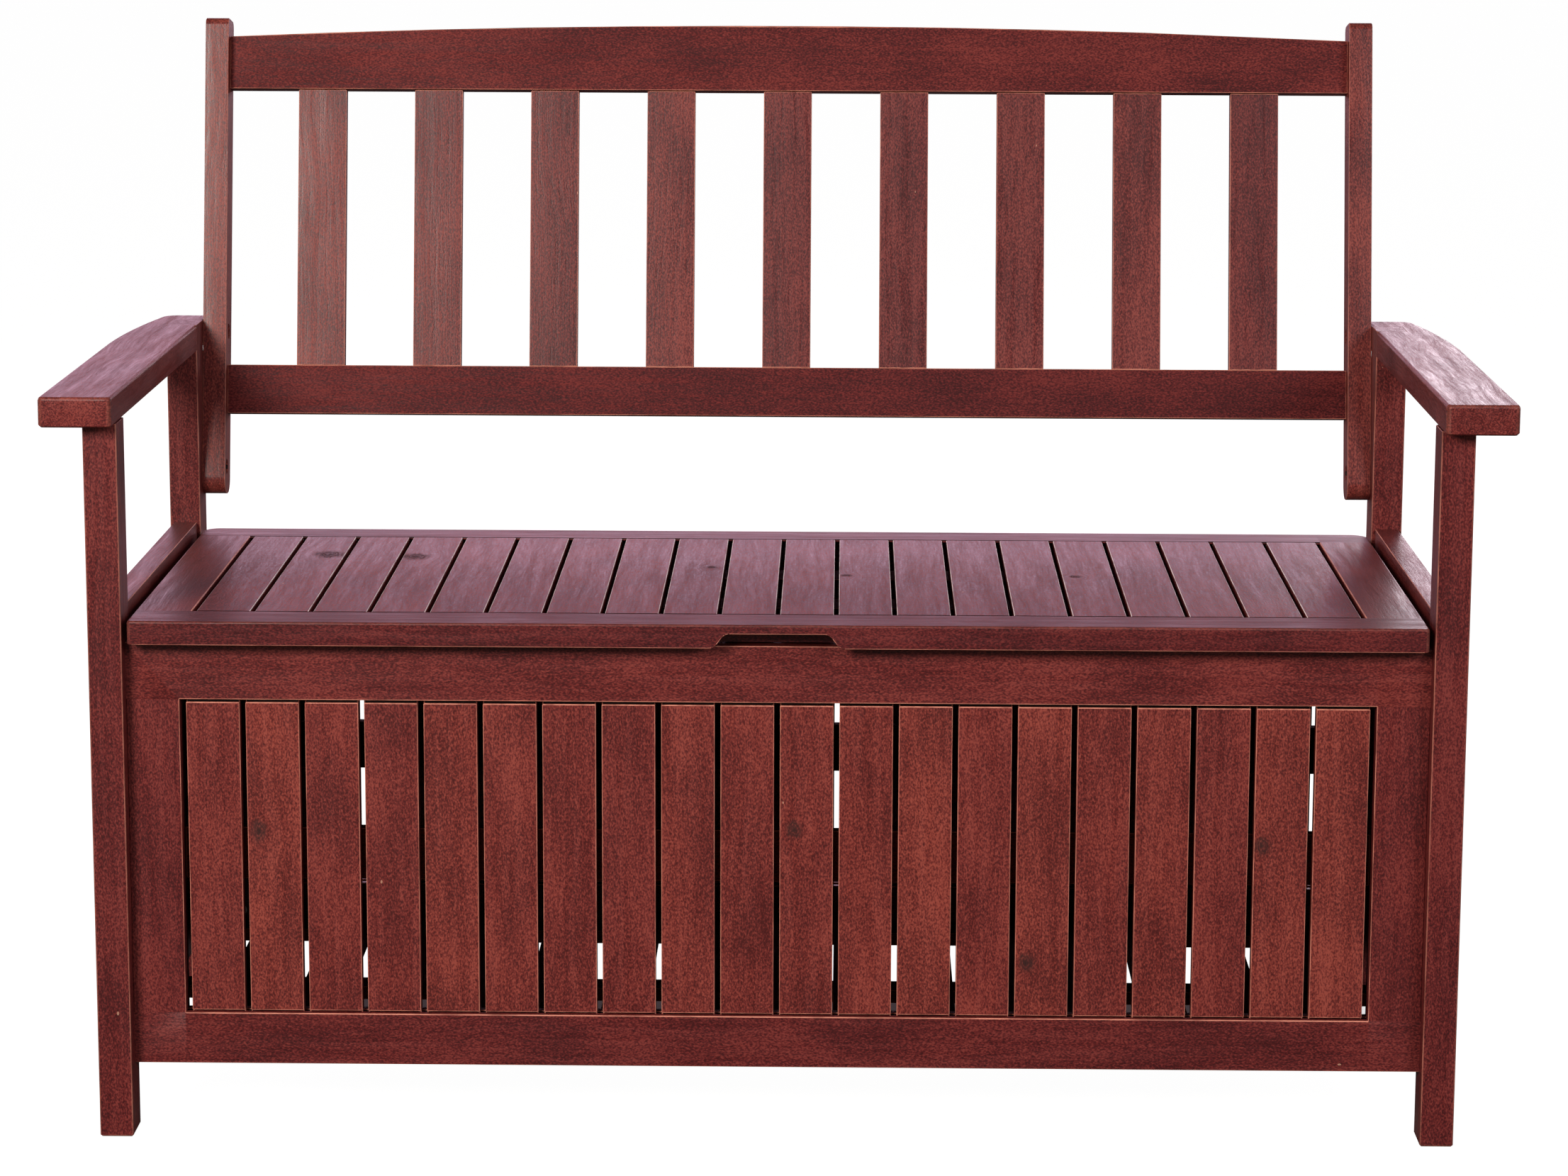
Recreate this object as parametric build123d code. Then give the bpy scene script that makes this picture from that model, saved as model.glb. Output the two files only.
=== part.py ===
from build123d import *
import math
import os

# Two-seat garden storage bench in stained hardwood: a slatted chest on four legs, a hinged slatted
# seat lid, two armrests and a slatted back that leans backwards.
# Millimetres. +X is the sitter's left (the viewer's right), +Y is the rear, +Z is up.
# While modelling, Y counts from the front faces of the front legs. Every piece is then shifted
# so that the origin lies on the ground under the middle of the whole bench.

# Legs
leg_span = 1136.0
leg_thickness = 28.0
leg_depth = 38.0
leg_stride = 449.0
leg_edge = 1.0
foot_chamfer = 1.6

# Armrests
armrest_top = 631.0
armrest_thickness = 25.0
armrest_width = 60.0
armrest_nose = 24.0
armrest_tail = 38.0
armrest_taper = 20.0
armrest_straight = 300.0
armrest_rear_corner = 15.0
armrest_front_corner = 5.0
armrest_top_round = 3.0
armrest_bottom_edge = 2.0
leg_tenon_height = 12.0
leg_tenon_shoulder = 7.0

# Boards, slats and their tongue and groove joints
rail_thickness = 21.0
slat_width = 44.5
slat_thickness = 12.0
board_edge = 0.6
tongue_thickness = 6.0
tongue_length = 10.0
groove_stop = 14.0
joint_clearance = 0.15
groove_end_room = 0.6
batten_height = 44.0
batten_thickness = 12.0

# Front and rear panels
panel_setback = 17.0
rear_panel_inset = 6.0
panel_bottom = 60.0
panel_opening_bottom = 104.0
panel_opening_top = 373.0
panel_stile_width = 44.0
panel_slat_count = 20
panel_slat_foot_reveal = 1.0
panel_slat_head_reveal = 3.0

# Side panels
side_rail_height = 44.0
side_rail_rise = 5.0
side_slat_count = 8
side_tenon_thickness = 10.0
side_tenon_height = 16.0
side_tenon_length = 18.0
side_tenon_drop = 12.0

# Seat lid
lid_top = 443.0
lid_thickness = 20.0
lid_nose = 5.0
lid_rear_gap = 8.0
lid_side_gap = 5.0
lid_front_rail_width = 47.0
lid_rear_rail_width = 42.0
lid_stile_width = 47.0
lid_rear_corner = 15.0
lid_front_corner = 4.0
lid_edge_round = 2.0
lid_lower_edge = 0.8
lid_rest_gap = 2.0
lid_slat_count = 20
lid_slat_reveal = 1.0
lid_batten_count = 2
grip_width = 112.0
grip_top_width = 78.0
grip_height = 12.0
grip_depth = 30.0

# Chest floor
floor_strip_bottom = 55.0
floor_strip_height = 12.0
floor_strip_width = 30.0
floor_bearer_middle = 246.0
floor_slat_count = 15
floor_slat_width = 39.0
floor_slat_thickness = 12.0
floor_slat_pitch = 66.8
floor_end_gap = 1.0

# Leaning back, in its own upright frame before it is tilted
back_tilt = 11.5
back_foot_height = 474.0
back_foot_setback = 10.3
back_stile_thickness = 21.5
back_stile_depth = 34.0
back_stile_length = 441.0
back_foot_round = 15.0
back_top_round = 7.0
back_rail_thickness = 20.0
back_rail_setback = 12.0
lower_rail_rise = 74.5
lower_rail_height = 45.0
crest_rail_rise = 376.5
crest_end_height = 48.5
crest_arch = 12.0
back_slat_count = 9
back_slat_tenon_inset = 4.0
back_slat_tenon_length = 14.0
back_rail_tenon_inset = 8.0
back_rail_tenon_length = 12.0
back_rail_tenon_thickness = 10.0

# Hinges
hinge_spacing = 680.0
hinge_length = 60.0
hinge_knuckle_count = 5
hinge_knuckle_radius = 2.5
hinge_pin_radius = 1.25
hinge_pin_clearance = 0.05
hinge_pin_head_radius = 2.0
hinge_pin_head_length = 1.0
hinge_leaf_thickness = 1.5
hinge_frame_leaf_width = 23.0
hinge_lid_leaf_width = 15.0
hinge_running_gap = 0.4
hinge_rail_drop = 7.0

# Hinge screws
screw_radius = 1.6
screw_head_radius = 2.8
screw_length = 15.0
screw_edge = 8.0
screw_count = 3

# Furniture bolts and barrel nuts
bolt_radius = 3.0
bolt_clearance = 0.1
bolt_head_radius = 5.5
bolt_head_height = 4.0
bolt_socket_radius = 2.2
bolt_socket_depth = 2.5
counterbore_radius = 7.0
counterbore_depth = 6.0
panel_bolt_from_opening = 27.0
panel_bolt_reach = 38.0
back_bolt_reach = 22.0
back_lower_bolt_rise = 22.0
barrel_radius = 5.0
barrel_length = 15.0
barrel_from_end = 30.0

# Places worked out from the sizes above
leg_inner = leg_span / 2 - leg_thickness
leg_middle = leg_inner + leg_thickness / 2
rear_leg_back = leg_stride + leg_depth
armrest_bottom = armrest_top - armrest_thickness
armrest_end = rear_leg_back + armrest_tail

rear_panel_front = leg_stride + rear_panel_inset
lid_bottom = lid_top - lid_thickness
lid_half = leg_inner - lid_side_gap
lid_front = -lid_nose
lid_back = rear_panel_front - lid_rear_gap
lid_slat_front = lid_front + lid_front_rail_width
lid_slat_back = lid_back - lid_rear_rail_width
lid_slat_middle_z = lid_top - slat_thickness / 2

panel_rail_top = lid_bottom - lid_rest_gap
rear_rail_top = lid_top - hinge_rail_drop
panel_stile_inner = leg_inner - panel_stile_width
side_rail_top = lid_top + side_rail_rise
side_rail_inner = leg_middle - rail_thickness / 2
groove_width = tongue_thickness + 2 * joint_clearance
groove_depth = tongue_length + groove_end_room
top_bolt_height = panel_opening_top + panel_bolt_from_opening
bottom_bolt_height = panel_opening_bottom - panel_bolt_from_opening
floor_bottom = floor_strip_bottom + floor_strip_height

hinge_axis_y = lid_back + hinge_running_gap + hinge_knuckle_radius
hinge_axis_z = rear_rail_top + hinge_knuckle_radius

back_foot_y = leg_stride + back_foot_setback
back_rail_middle = back_rail_setback + back_rail_thickness / 2
back_half = leg_inner - back_stile_thickness
crest_end_top = crest_rail_rise + crest_end_height
lower_rail_top = lower_rail_rise + lower_rail_height
tilt_sin = math.sin(math.radians(back_tilt))
tilt_cos = math.cos(math.radians(back_tilt))
back_frame = Pos(0, back_foot_y, back_foot_height) * Rot(-back_tilt, 0, 0)
back_reach = (
    back_foot_y
    + (back_stile_depth - back_top_round) * tilt_cos
    + (back_stile_length - back_top_round) * tilt_sin
    + back_top_round
)
datum = Pos(0, (armrest_nose - back_reach) / 2, 0)


def block(x, y, z):
    """Box between a low and a high value on each axis."""
    spans = (x, y, z)
    centre = [(low + high) / 2 for low, high in spans]
    size = [high - low for low, high in spans]
    return Pos(*centre) * Box(*size)


def about(middle, width):
    """Low and high value of a width that is centred on a middle."""
    return (middle - width / 2, middle + width / 2)


def board(x, y, z, along, edge=board_edge):
    """Plank whose four long edges, which run along the given axis, are eased."""
    plank = block(x, y, z)
    return chamfer(plank.edges().filter_by(along), edge)


def is_upright(edge):
    """Whether an edge is a straight one along Z."""
    box = edge.bounding_box().size
    return box.X < 1e-6 and box.Y < 1e-6


def rod(radius, start, end, axis):
    """Round rod on a line parallel to an axis, from a start point over a signed length."""
    turn = {"x": Rot(0, 90, 0), "y": Rot(-90, 0, 0), "z": Rot(0, 0, 0)}[axis]
    align = (Align.CENTER, Align.CENTER, Align.MIN if end > 0 else Align.MAX)
    return Pos(*start) * turn * Cylinder(radius, abs(end), align=align)


def tongued_slat(clear_length, foot_reveal, head_reveal, tongue_width=slat_width, tongue=tongue_length):
    """Upright slat whose opening is centred on the origin, with a thinner tongue at each end for a groove."""
    body_z = (foot_reveal - clear_length / 2, clear_length / 2 - head_reveal)
    body = board(about(0, slat_width), about(0, slat_thickness), body_z, Axis.Z)
    core = block(about(0, tongue_width), about(0, tongue_thickness), about(0, clear_length + 2 * tongue))
    return body + core


def spread(count, width, low, high):
    """Middles of equal pieces that share a span with equal gaps, also at both ends."""
    gap = (high - low - count * width) / (count + 1)
    return [low + gap + width / 2 + i * (width + gap) for i in range(count)]


def mirrored(part):
    """The same piece on the other side of the bench."""
    return mirror(part, about=Plane.YZ)


def bolt(start, side, reach):
    """Socket-head bolt along X: its head rises from the start point against side, its shank runs to side."""
    x, y, z = start
    shape = rod(bolt_head_radius, start, -side * bolt_head_height, "x")
    shape += rod(bolt_radius, start, side * reach, "x")
    socket_start = (x - side * bolt_head_height, y, z)
    return shape - rod(bolt_socket_radius, socket_start, side * bolt_socket_depth, "x")


def bolt_hole(start, side, reach):
    """Room for a bolt's shank, beyond the seat of its head."""
    return rod(bolt_radius + bolt_clearance, start, side * (reach + bolt_clearance), "x")


def counterbore(face, side):
    """Round recess that takes a bolt head, sunk from a point on a face towards side."""
    return rod(counterbore_radius, face, side * counterbore_depth, "x")


def panel_bolt_places(panel_front):
    """Y and Z of the two bolts at each end of a panel."""
    y = panel_front + rail_thickness / 2
    return [(y, bottom_bolt_height), (y, top_bolt_height)]


def back_bolt_places():
    """Y and Z of the bolts that hold a leaning stile: into the rear leg, and into the armrest's tail."""
    front_y = back_foot_y + back_lower_bolt_rise * tilt_sin / tilt_cos
    lower = ((front_y + rear_leg_back) / 2, back_foot_height + back_lower_bolt_rise)
    upper = ((rear_leg_back + armrest_end) / 2, armrest_top - armrest_thickness / 2)
    return [lower, upper]


def side_tenon_middles():
    """Heights of the tenons on the bottom and the top rail of a side."""
    return [panel_opening_bottom - side_tenon_drop, side_rail_top - side_tenon_drop]


def leg(front):
    """Right-hand leg with mortises for the side rails and holes for the panel bolts."""
    face = 0.0 if front else leg_stride
    height = armrest_bottom if front else armrest_top
    x = (leg_inner, leg_inner + leg_thickness)
    shape = board(x, (face, face + leg_depth), (0, height), Axis.Z, leg_edge)
    shape = chamfer(shape.faces().sort_by(Axis.Z)[0].edges(), foot_chamfer)
    room = side_tenon_length + groove_end_room
    mortise_y = (leg_depth - room, leg_depth) if front else (leg_stride, leg_stride + room)
    mortise_x = about(leg_middle, side_tenon_thickness + 2 * joint_clearance)
    for middle in side_tenon_middles():
        shape -= block(mortise_x, mortise_y, about(middle, side_tenon_height + 2 * joint_clearance))
    panel_front = panel_setback if front else rear_panel_front
    outside = leg_inner + leg_thickness
    for y, z in panel_bolt_places(panel_front):
        shape -= counterbore((outside, y, z), -1)
        shape -= bolt_hole((outside, y, z), -1, leg_thickness)
    if front:
        shape += leg_tenon(0)
    else:
        y, z = back_bolt_places()[0]
        shape -= bolt_hole((leg_inner, y, z), 1, back_bolt_reach)
    return shape


def leg_tenon(clearance):
    """Stub tenon on a front leg's top, or with a clearance its mortise in the armrest."""
    x = about(leg_middle, leg_thickness - 2 * leg_tenon_shoulder + 2 * clearance)
    y = about(leg_depth / 2, leg_depth - 2 * leg_tenon_shoulder + 2 * clearance)
    top = armrest_bottom + leg_tenon_height
    return block(x, y, (armrest_bottom, top + clearance))


def armrest():
    """Right-hand armrest: straight inside, curved in towards the rear outside, notched for the rear leg."""
    outer = leg_inner + armrest_width
    start = (outer, armrest_straight)
    end = (outer - armrest_taper, armrest_end)
    outline = [
        Polyline((leg_inner, armrest_end), (leg_inner, -armrest_nose), (outer, -armrest_nose), start),
        TangentArc(start, end, tangent=(0, 1)),
        Line(end, (leg_inner, armrest_end)),
    ]
    shape = Pos(0, 0, armrest_bottom) * extrude(make_face(outline), armrest_thickness)
    upright = shape.edges().filter_by(Axis.Z)
    shape = fillet(upright.group_by(Axis.Y)[-1].sort_by(Axis.X)[-1:], armrest_rear_corner)
    upright = shape.edges().filter_by(Axis.Z)
    shape = fillet(upright.group_by(Axis.Y)[0], armrest_front_corner)
    top = shape.faces().sort_by(Axis.Z)[-1]
    inner_edge = top.edges().filter_by(Axis.Y).sort_by(Axis.X)[0]
    shape = fillet([edge for edge in top.edges() if not edge.is_same(inner_edge)], armrest_top_round)
    underside = shape.faces().sort_by(Axis.Z)[0]
    shape = chamfer(underside.edges(), armrest_bottom_edge)
    leg_x = (leg_inner - armrest_bottom_edge, leg_inner + leg_thickness)
    shape -= block(leg_x, (leg_stride, rear_leg_back), (armrest_bottom, armrest_top))
    shape -= leg_tenon(joint_clearance)
    y, z = back_bolt_places()[1]
    return shape - bolt_hole((leg_inner, y, z), 1, back_bolt_reach)


def side_rail(bottom, top, tenon_middle, groove_on_top):
    """Right-hand side rail between the legs, tenoned into both and grooved for the slats."""
    x = about(leg_middle, rail_thickness)
    shape = board(x, (leg_depth, leg_stride), (bottom, top), Axis.Y)
    tenon_y = (leg_depth - side_tenon_length, leg_stride + side_tenon_length)
    shape += block(about(leg_middle, side_tenon_thickness), tenon_y, about(tenon_middle, side_tenon_height))
    groove_z = (top - groove_depth, top) if groove_on_top else (bottom, bottom + groove_depth)
    return shape - block(about(leg_middle, groove_width), (leg_depth, leg_stride), groove_z)


def side_slats():
    """Right-hand side's row of upright slats."""
    low = panel_opening_bottom
    high = side_rail_top - side_rail_height
    pattern = Rot(0, 0, 90) * tongued_slat(high - low, panel_slat_foot_reveal, panel_slat_head_reveal)
    middles = spread(side_slat_count, slat_width, leg_depth, leg_stride)
    return [Pos(leg_middle, y, (low + high) / 2) * pattern for y in middles]


def panel_rail(panel_front, z, groove_z):
    """Full-width panel rail, grooved for the slats and bored at both ends for bolts and barrel nuts."""
    y = (panel_front, panel_front + rail_thickness)
    shape = block((-leg_inner, leg_inner), y, z)
    long_edges = shape.edges().filter_by(Axis.X).group_by(Axis.Z)
    shape = chamfer(long_edges[-1 if groove_z[0] == z[0] else 0], board_edge)
    groove_x = (groove_stop - leg_inner, leg_inner - groove_stop)
    return shape - block(groove_x, about(sum(y) / 2, groove_width), groove_z)


def panel_bores(panel_front, height, inside):
    """Bolt and barrel nut bores at both ends of a panel rail; inside is the chest's side of the panel."""
    middle = panel_front + rail_thickness / 2
    face = middle + inside * rail_thickness / 2
    bores = []
    for side in (-1, 1):
        end = (side * leg_inner, middle, height)
        bores.append(bolt_hole(end, -side, panel_bolt_reach))
        start = (side * (leg_inner - barrel_from_end), face, height)
        bores.append(rod(barrel_radius + bolt_clearance, start, -inside * barrel_length, "y"))
    return bores


def panel_stile(panel_front):
    """Right-hand panel stile between the rails, tongued into their grooves."""
    y = (panel_front, panel_front + rail_thickness)
    z = (panel_opening_bottom, panel_opening_top)
    shape = board((panel_stile_inner, leg_inner), y, z, Axis.Z)
    tongue_x = (panel_stile_inner + board_edge, leg_inner - groove_stop - joint_clearance)
    tongue_z = (z[0] - tongue_length, z[1] + tongue_length)
    return shape + block(tongue_x, about(sum(y) / 2, tongue_thickness), tongue_z)


def panel(name, panel_front, top, inside):
    """One long panel of the chest: rails, stiles, slats and the batten on the slats' inner side."""
    low, high = panel_opening_bottom, panel_opening_top
    middle = panel_front + rail_thickness / 2
    bottom_rail = panel_rail(panel_front, (panel_bottom, low), (low - groove_depth, low))
    top_rail = panel_rail(panel_front, (high, top), (high, high + groove_depth))
    for bore in panel_bores(panel_front, bottom_bolt_height, inside):
        bottom_rail -= bore
    for bore in panel_bores(panel_front, top_bolt_height, inside):
        top_rail -= bore
    stile = panel_stile(panel_front)
    pattern = tongued_slat(high - low, panel_slat_foot_reveal, panel_slat_head_reveal)
    slat_middles = spread(panel_slat_count, slat_width, -panel_stile_inner, panel_stile_inner)
    slats = [Pos(x, middle, (low + high) / 2) * pattern for x in slat_middles]
    slat_face = middle + inside * slat_thickness / 2
    batten_y = sorted((slat_face, slat_face + inside * batten_thickness))
    batten_x = about(0, 2 * (panel_stile_inner - joint_clearance))
    return {
        f"{name}_bottom_rail": bottom_rail,
        f"{name}_top_rail": top_rail,
        f"{name}_stile_right": stile,
        f"{name}_stile_left": mirrored(stile),
        f"{name}_slats": slats,
        f"{name}_batten": board(batten_x, batten_y, about((low + high) / 2, batten_height), Axis.X),
    }


def chest_floor():
    """Floor of the chest: slats from front to rear on two ledgers and a bearer."""
    front = panel_setback + rail_thickness
    back = rear_panel_front
    strip_z = (floor_strip_bottom, floor_bottom)
    ledger_x = about(0, 2 * (leg_inner - joint_clearance))
    bearer_x = about(0, 2 * side_rail_inner)
    bearer_y = about(floor_bearer_middle, floor_strip_width)
    pieces = {
        "floor_ledger_front": board(ledger_x, (front, front + floor_strip_width), strip_z, Axis.X),
        "floor_bearer": board(bearer_x, bearer_y, strip_z, Axis.X),
        "floor_ledger_rear": board(ledger_x, (back - floor_strip_width, back), strip_z, Axis.X),
    }
    slat_y = (front + floor_end_gap, back - floor_end_gap)
    slat_z = (floor_bottom, floor_bottom + floor_slat_thickness)
    slat = board(about(0, floor_slat_width), slat_y, slat_z, Axis.Y)
    first = -(floor_slat_count - 1) / 2
    slats = [Pos((first + i) * floor_slat_pitch, 0, 0) * slat for i in range(floor_slat_count)]
    pieces["floor_slats"] = slats
    return pieces


def grip_recess():
    """Finger recess in the lower front edge of the lid, with S-curved sides."""
    half, top_half = grip_width / 2, grip_top_width / 2
    bend = (half + top_half) / 2
    low, high = lid_bottom, lid_bottom + grip_height
    outline = [
        Bezier((-half, low), (-bend, low), (-bend, high), (-top_half, high)),
        Line((-top_half, high), (top_half, high)),
        Bezier((top_half, high), (bend, high), (bend, low), (half, low)),
        Line((half, low), (-half, low)),
    ]
    return extrude(Plane.XZ.offset(-lid_front) * make_face(outline), -grip_depth)


def lid_groove(edge, inward):
    """Stopped groove in a lid rail for the slats' tongues, sunk from its inner edge."""
    x = (groove_stop - lid_half, lid_half - groove_stop)
    y = sorted((edge, edge + inward * groove_depth))
    return block(x, y, about(lid_slat_middle_z, groove_width))


def lid_rail(y, outer, corner):
    """Lid rail over the whole width; outer picks the side, by its place in Y order, that faces out."""
    shape = block((-lid_half, lid_half), y, (lid_bottom, lid_top))
    shape = fillet(shape.edges().filter_by(Axis.Z).group_by(Axis.Y)[outer], corner)
    seam = -1 - outer
    top = shape.faces().sort_by(Axis.Z)[-1]
    seam_edge = top.edges().filter_by(Axis.X).sort_by(Axis.Y)[seam]
    return fillet([edge for edge in top.edges() if not edge.is_same(seam_edge)], lid_edge_round)


def lid():
    """Seat lid: rails over its whole width, stiles and slats between them, battens below the slats."""
    front_rail = lid_rail((lid_front, lid_slat_front), 0, lid_front_corner)
    front_rail -= lid_groove(lid_slat_front, -1)
    front_rail -= grip_recess()
    front_edges = front_rail.faces().sort_by(Axis.Y)[0].edges()
    low_edges = [edge for edge in front_edges if edge.center().Z < lid_bottom + grip_height + lid_lower_edge]
    front_rail = chamfer([edge for edge in low_edges if not is_upright(edge)], lid_lower_edge)
    rear_rail = lid_rail((lid_slat_back, lid_back), -1, lid_rear_corner)
    rear_rail -= lid_groove(lid_slat_back, 1)
    for x_hinge in hinge_middles():
        for screw in lid_screws(x_hinge):
            rear_rail -= screw
    stile_inner = lid_half - lid_stile_width
    stile = block((stile_inner, lid_half), (lid_slat_front, lid_slat_back), (lid_bottom, lid_top))
    outer_edges = stile.edges().filter_by(Axis.Y).group_by(Axis.X)[-1]
    stile = fillet(outer_edges.sort_by(Axis.Z)[-1:], lid_edge_round)
    tongue_x = (stile_inner + board_edge, lid_half - groove_stop - joint_clearance)
    tongue_y = (lid_slat_front - tongue_length, lid_slat_back + tongue_length)
    stile += block(tongue_x, tongue_y, about(lid_slat_middle_z, tongue_thickness))
    slat_middle_y = (lid_slat_front + lid_slat_back) / 2
    clear = lid_slat_back - lid_slat_front
    pattern = Rot(-90, 0, 0) * tongued_slat(clear, lid_slat_reveal, lid_slat_reveal)
    slat_middles = spread(lid_slat_count, slat_width, -stile_inner, stile_inner)
    batten_z = (lid_bottom, lid_top - slat_thickness)
    batten_x = about(0, 2 * (stile_inner - joint_clearance))
    batten_middles = spread(lid_batten_count, batten_height, lid_slat_front, lid_slat_back)
    battens = [board(batten_x, about(y, batten_height), batten_z, Axis.X) for y in batten_middles]
    return {
        "lid_front_rail": front_rail,
        "lid_rear_rail": rear_rail,
        "lid_stile_right": stile,
        "lid_stile_left": mirrored(stile),
        "lid_slats": [Pos(mx, slat_middle_y, lid_slat_middle_z) * pattern for mx in slat_middles],
        "lid_battens": battens,
    }


def hinge_middles():
    """Middles of the hinges along the lid's rear edge."""
    return (-hinge_spacing / 2, hinge_spacing / 2)


def knuckles(x_hinge, own):
    """X ranges of a leaf's own knuckles, or of its neighbour's, each shortened by half a running gap."""
    length = hinge_length / hinge_knuckle_count
    first = x_hinge - hinge_length / 2
    half_gap = hinge_running_gap / 2
    starts = [first + i * length for i in range(0 if own else 1, hinge_knuckle_count, 2)]
    return [(start + half_gap, start + length - half_gap) for start in starts]


def screw_middles(x_hinge):
    """X places of a leaf's screws."""
    reach = hinge_length / 2 - screw_edge
    step = 2 * reach / (screw_count - 1)
    return [x_hinge - reach + i * step for i in range(screw_count)]


def countersunk(point, turn):
    """Countersunk screw whose flat head lies at a point, running down its own Z before the turn."""
    head_height = screw_head_radius - screw_radius
    head = Cone(screw_radius, screw_head_radius, head_height, align=(Align.CENTER, Align.CENTER, Align.MAX))
    shank = rod(screw_radius, (0, 0, -head_height), head_height - screw_length, "z")
    return Pos(*point) * turn * (head + shank)


def frame_screws(x_hinge):
    """Screws that hold a hinge's frame leaf down on the rear rail."""
    y = (rear_panel_front + hinge_axis_y + hinge_frame_leaf_width) / 2
    z = rear_rail_top + hinge_leaf_thickness
    return [countersunk((x, y, z), Rot(0, 0, 0)) for x in screw_middles(x_hinge)]


def lid_screws(x_hinge):
    """Screws that hold a hinge's lid leaf against the lid's rear edge."""
    y = lid_back + hinge_leaf_thickness
    z = hinge_axis_z - (hinge_knuckle_radius + hinge_lid_leaf_width) / 2
    return [countersunk((x, y, z), Rot(-90, 0, 0)) for x in screw_middles(x_hinge)]


def hinge_leaf(x_hinge, own, plate, tab, screws):
    """Hinge leaf: plate, tabs rolled into knuckles, pin bore and countersunk holes."""
    x = about(x_hinge, hinge_length - hinge_running_gap)
    shape = block(x, *plate)
    for span in knuckles(x_hinge, own):
        start = (span[0], hinge_axis_y, hinge_axis_z)
        shape += block(span, *tab)
        shape += rod(hinge_knuckle_radius, start, span[1] - span[0], "x")
    bore_start = (x_hinge - hinge_length, hinge_axis_y, hinge_axis_z)
    shape -= rod(hinge_pin_radius + hinge_pin_clearance, bore_start, 2 * hinge_length, "x")
    for screw in screws:
        shape -= screw
    return shape


def hinge(x_hinge):
    """One butt hinge: the leaf on the rear rail, the leaf on the lid's rear edge, and the pin."""
    start = hinge_knuckle_radius + hinge_running_gap
    rail_z = (rear_rail_top, rear_rail_top + hinge_leaf_thickness)
    frame_end = hinge_axis_y + hinge_frame_leaf_width
    frame_plate = ((hinge_axis_y + start, frame_end), rail_z)
    frame_tab = ((hinge_axis_y, hinge_axis_y + start), rail_z)
    lid_y = (lid_back, lid_back + hinge_leaf_thickness)
    lid_plate = (lid_y, (hinge_axis_z - hinge_lid_leaf_width, hinge_axis_z - start))
    lid_tab = (lid_y, (hinge_axis_z - start, hinge_axis_z))
    frame_leaf = hinge_leaf(x_hinge, True, frame_plate, frame_tab, frame_screws(x_hinge))
    lid_leaf = hinge_leaf(x_hinge, False, lid_plate, lid_tab, lid_screws(x_hinge))
    half = hinge_length / 2
    pin = rod(hinge_pin_radius, (x_hinge - half, hinge_axis_y, hinge_axis_z), hinge_length, "x")
    for side in (-1, 1):
        head = (x_hinge + side * half, hinge_axis_y, hinge_axis_z)
        pin += rod(hinge_pin_head_radius, head, side * hinge_pin_head_length, "x")
    return frame_leaf, lid_leaf, pin


def back_stile():
    """Right-hand leaning stile with rounded ends, mortised for the rails and bored for its bolts."""
    depth, length = back_stile_depth, back_stile_length
    x = (back_half, leg_inner)
    shape = block(x, (0, depth), (0, length))
    across = shape.edges().filter_by(Axis.X).group_by(Axis.Z)
    shape = fillet(across[0], back_foot_round)
    across = shape.edges().filter_by(Axis.X).group_by(Axis.Z)
    shape = fillet(across[-1], back_top_round)
    for side in (0, -1):
        shape = chamfer(shape.faces().sort_by(Axis.X)[side].edges(), board_edge)
    mortise_x = (back_half, back_half + back_rail_tenon_length + groove_end_room)
    mortise_y = about(back_rail_middle, back_rail_tenon_thickness + 2 * joint_clearance)
    for low, high in back_tenon_heights():
        mortise_z = (low - joint_clearance, high + joint_clearance)
        shape -= block(mortise_x, mortise_y, mortise_z)
    shape = back_frame * shape
    for y, z in back_bolt_places():
        shape -= counterbore((back_half, y, z), 1)
        shape -= bolt_hole((back_half, y, z), 1, back_stile_thickness)
    return shape


def back_tenon_heights():
    """Low and high edge of the tenons on the lower rail and the crest rail."""
    inset = back_rail_tenon_inset
    lower = (lower_rail_rise + inset, lower_rail_top - inset)
    crest = (crest_rail_rise + inset, crest_end_top - inset)
    return [lower, crest]


def back_rail(outline, tenon_height, mortise_z):
    """Rail of the back between the stiles, with end tenons and a mortise for each slat."""
    face = Plane.XZ.offset(-back_rail_setback) * make_face(outline)
    shape = extrude(face, -back_rail_thickness)
    for side in (0, -1):
        shape = chamfer(shape.faces().sort_by(Axis.Y)[side].edges(), board_edge)
    tenon_half = back_half + back_rail_tenon_length
    tenon_y = about(back_rail_middle, back_rail_tenon_thickness)
    shape += block((-tenon_half, tenon_half), tenon_y, tenon_height)
    mortise_width = slat_width - 2 * back_slat_tenon_inset + 2 * joint_clearance
    mortise_y = about(back_rail_middle, groove_width)
    for x in back_slat_middles():
        shape -= block(about(x, mortise_width), mortise_y, mortise_z)
    return shape


def back_slat_middles():
    """X places of the slats of the back."""
    return spread(back_slat_count, slat_width, -back_half, back_half)


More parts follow.
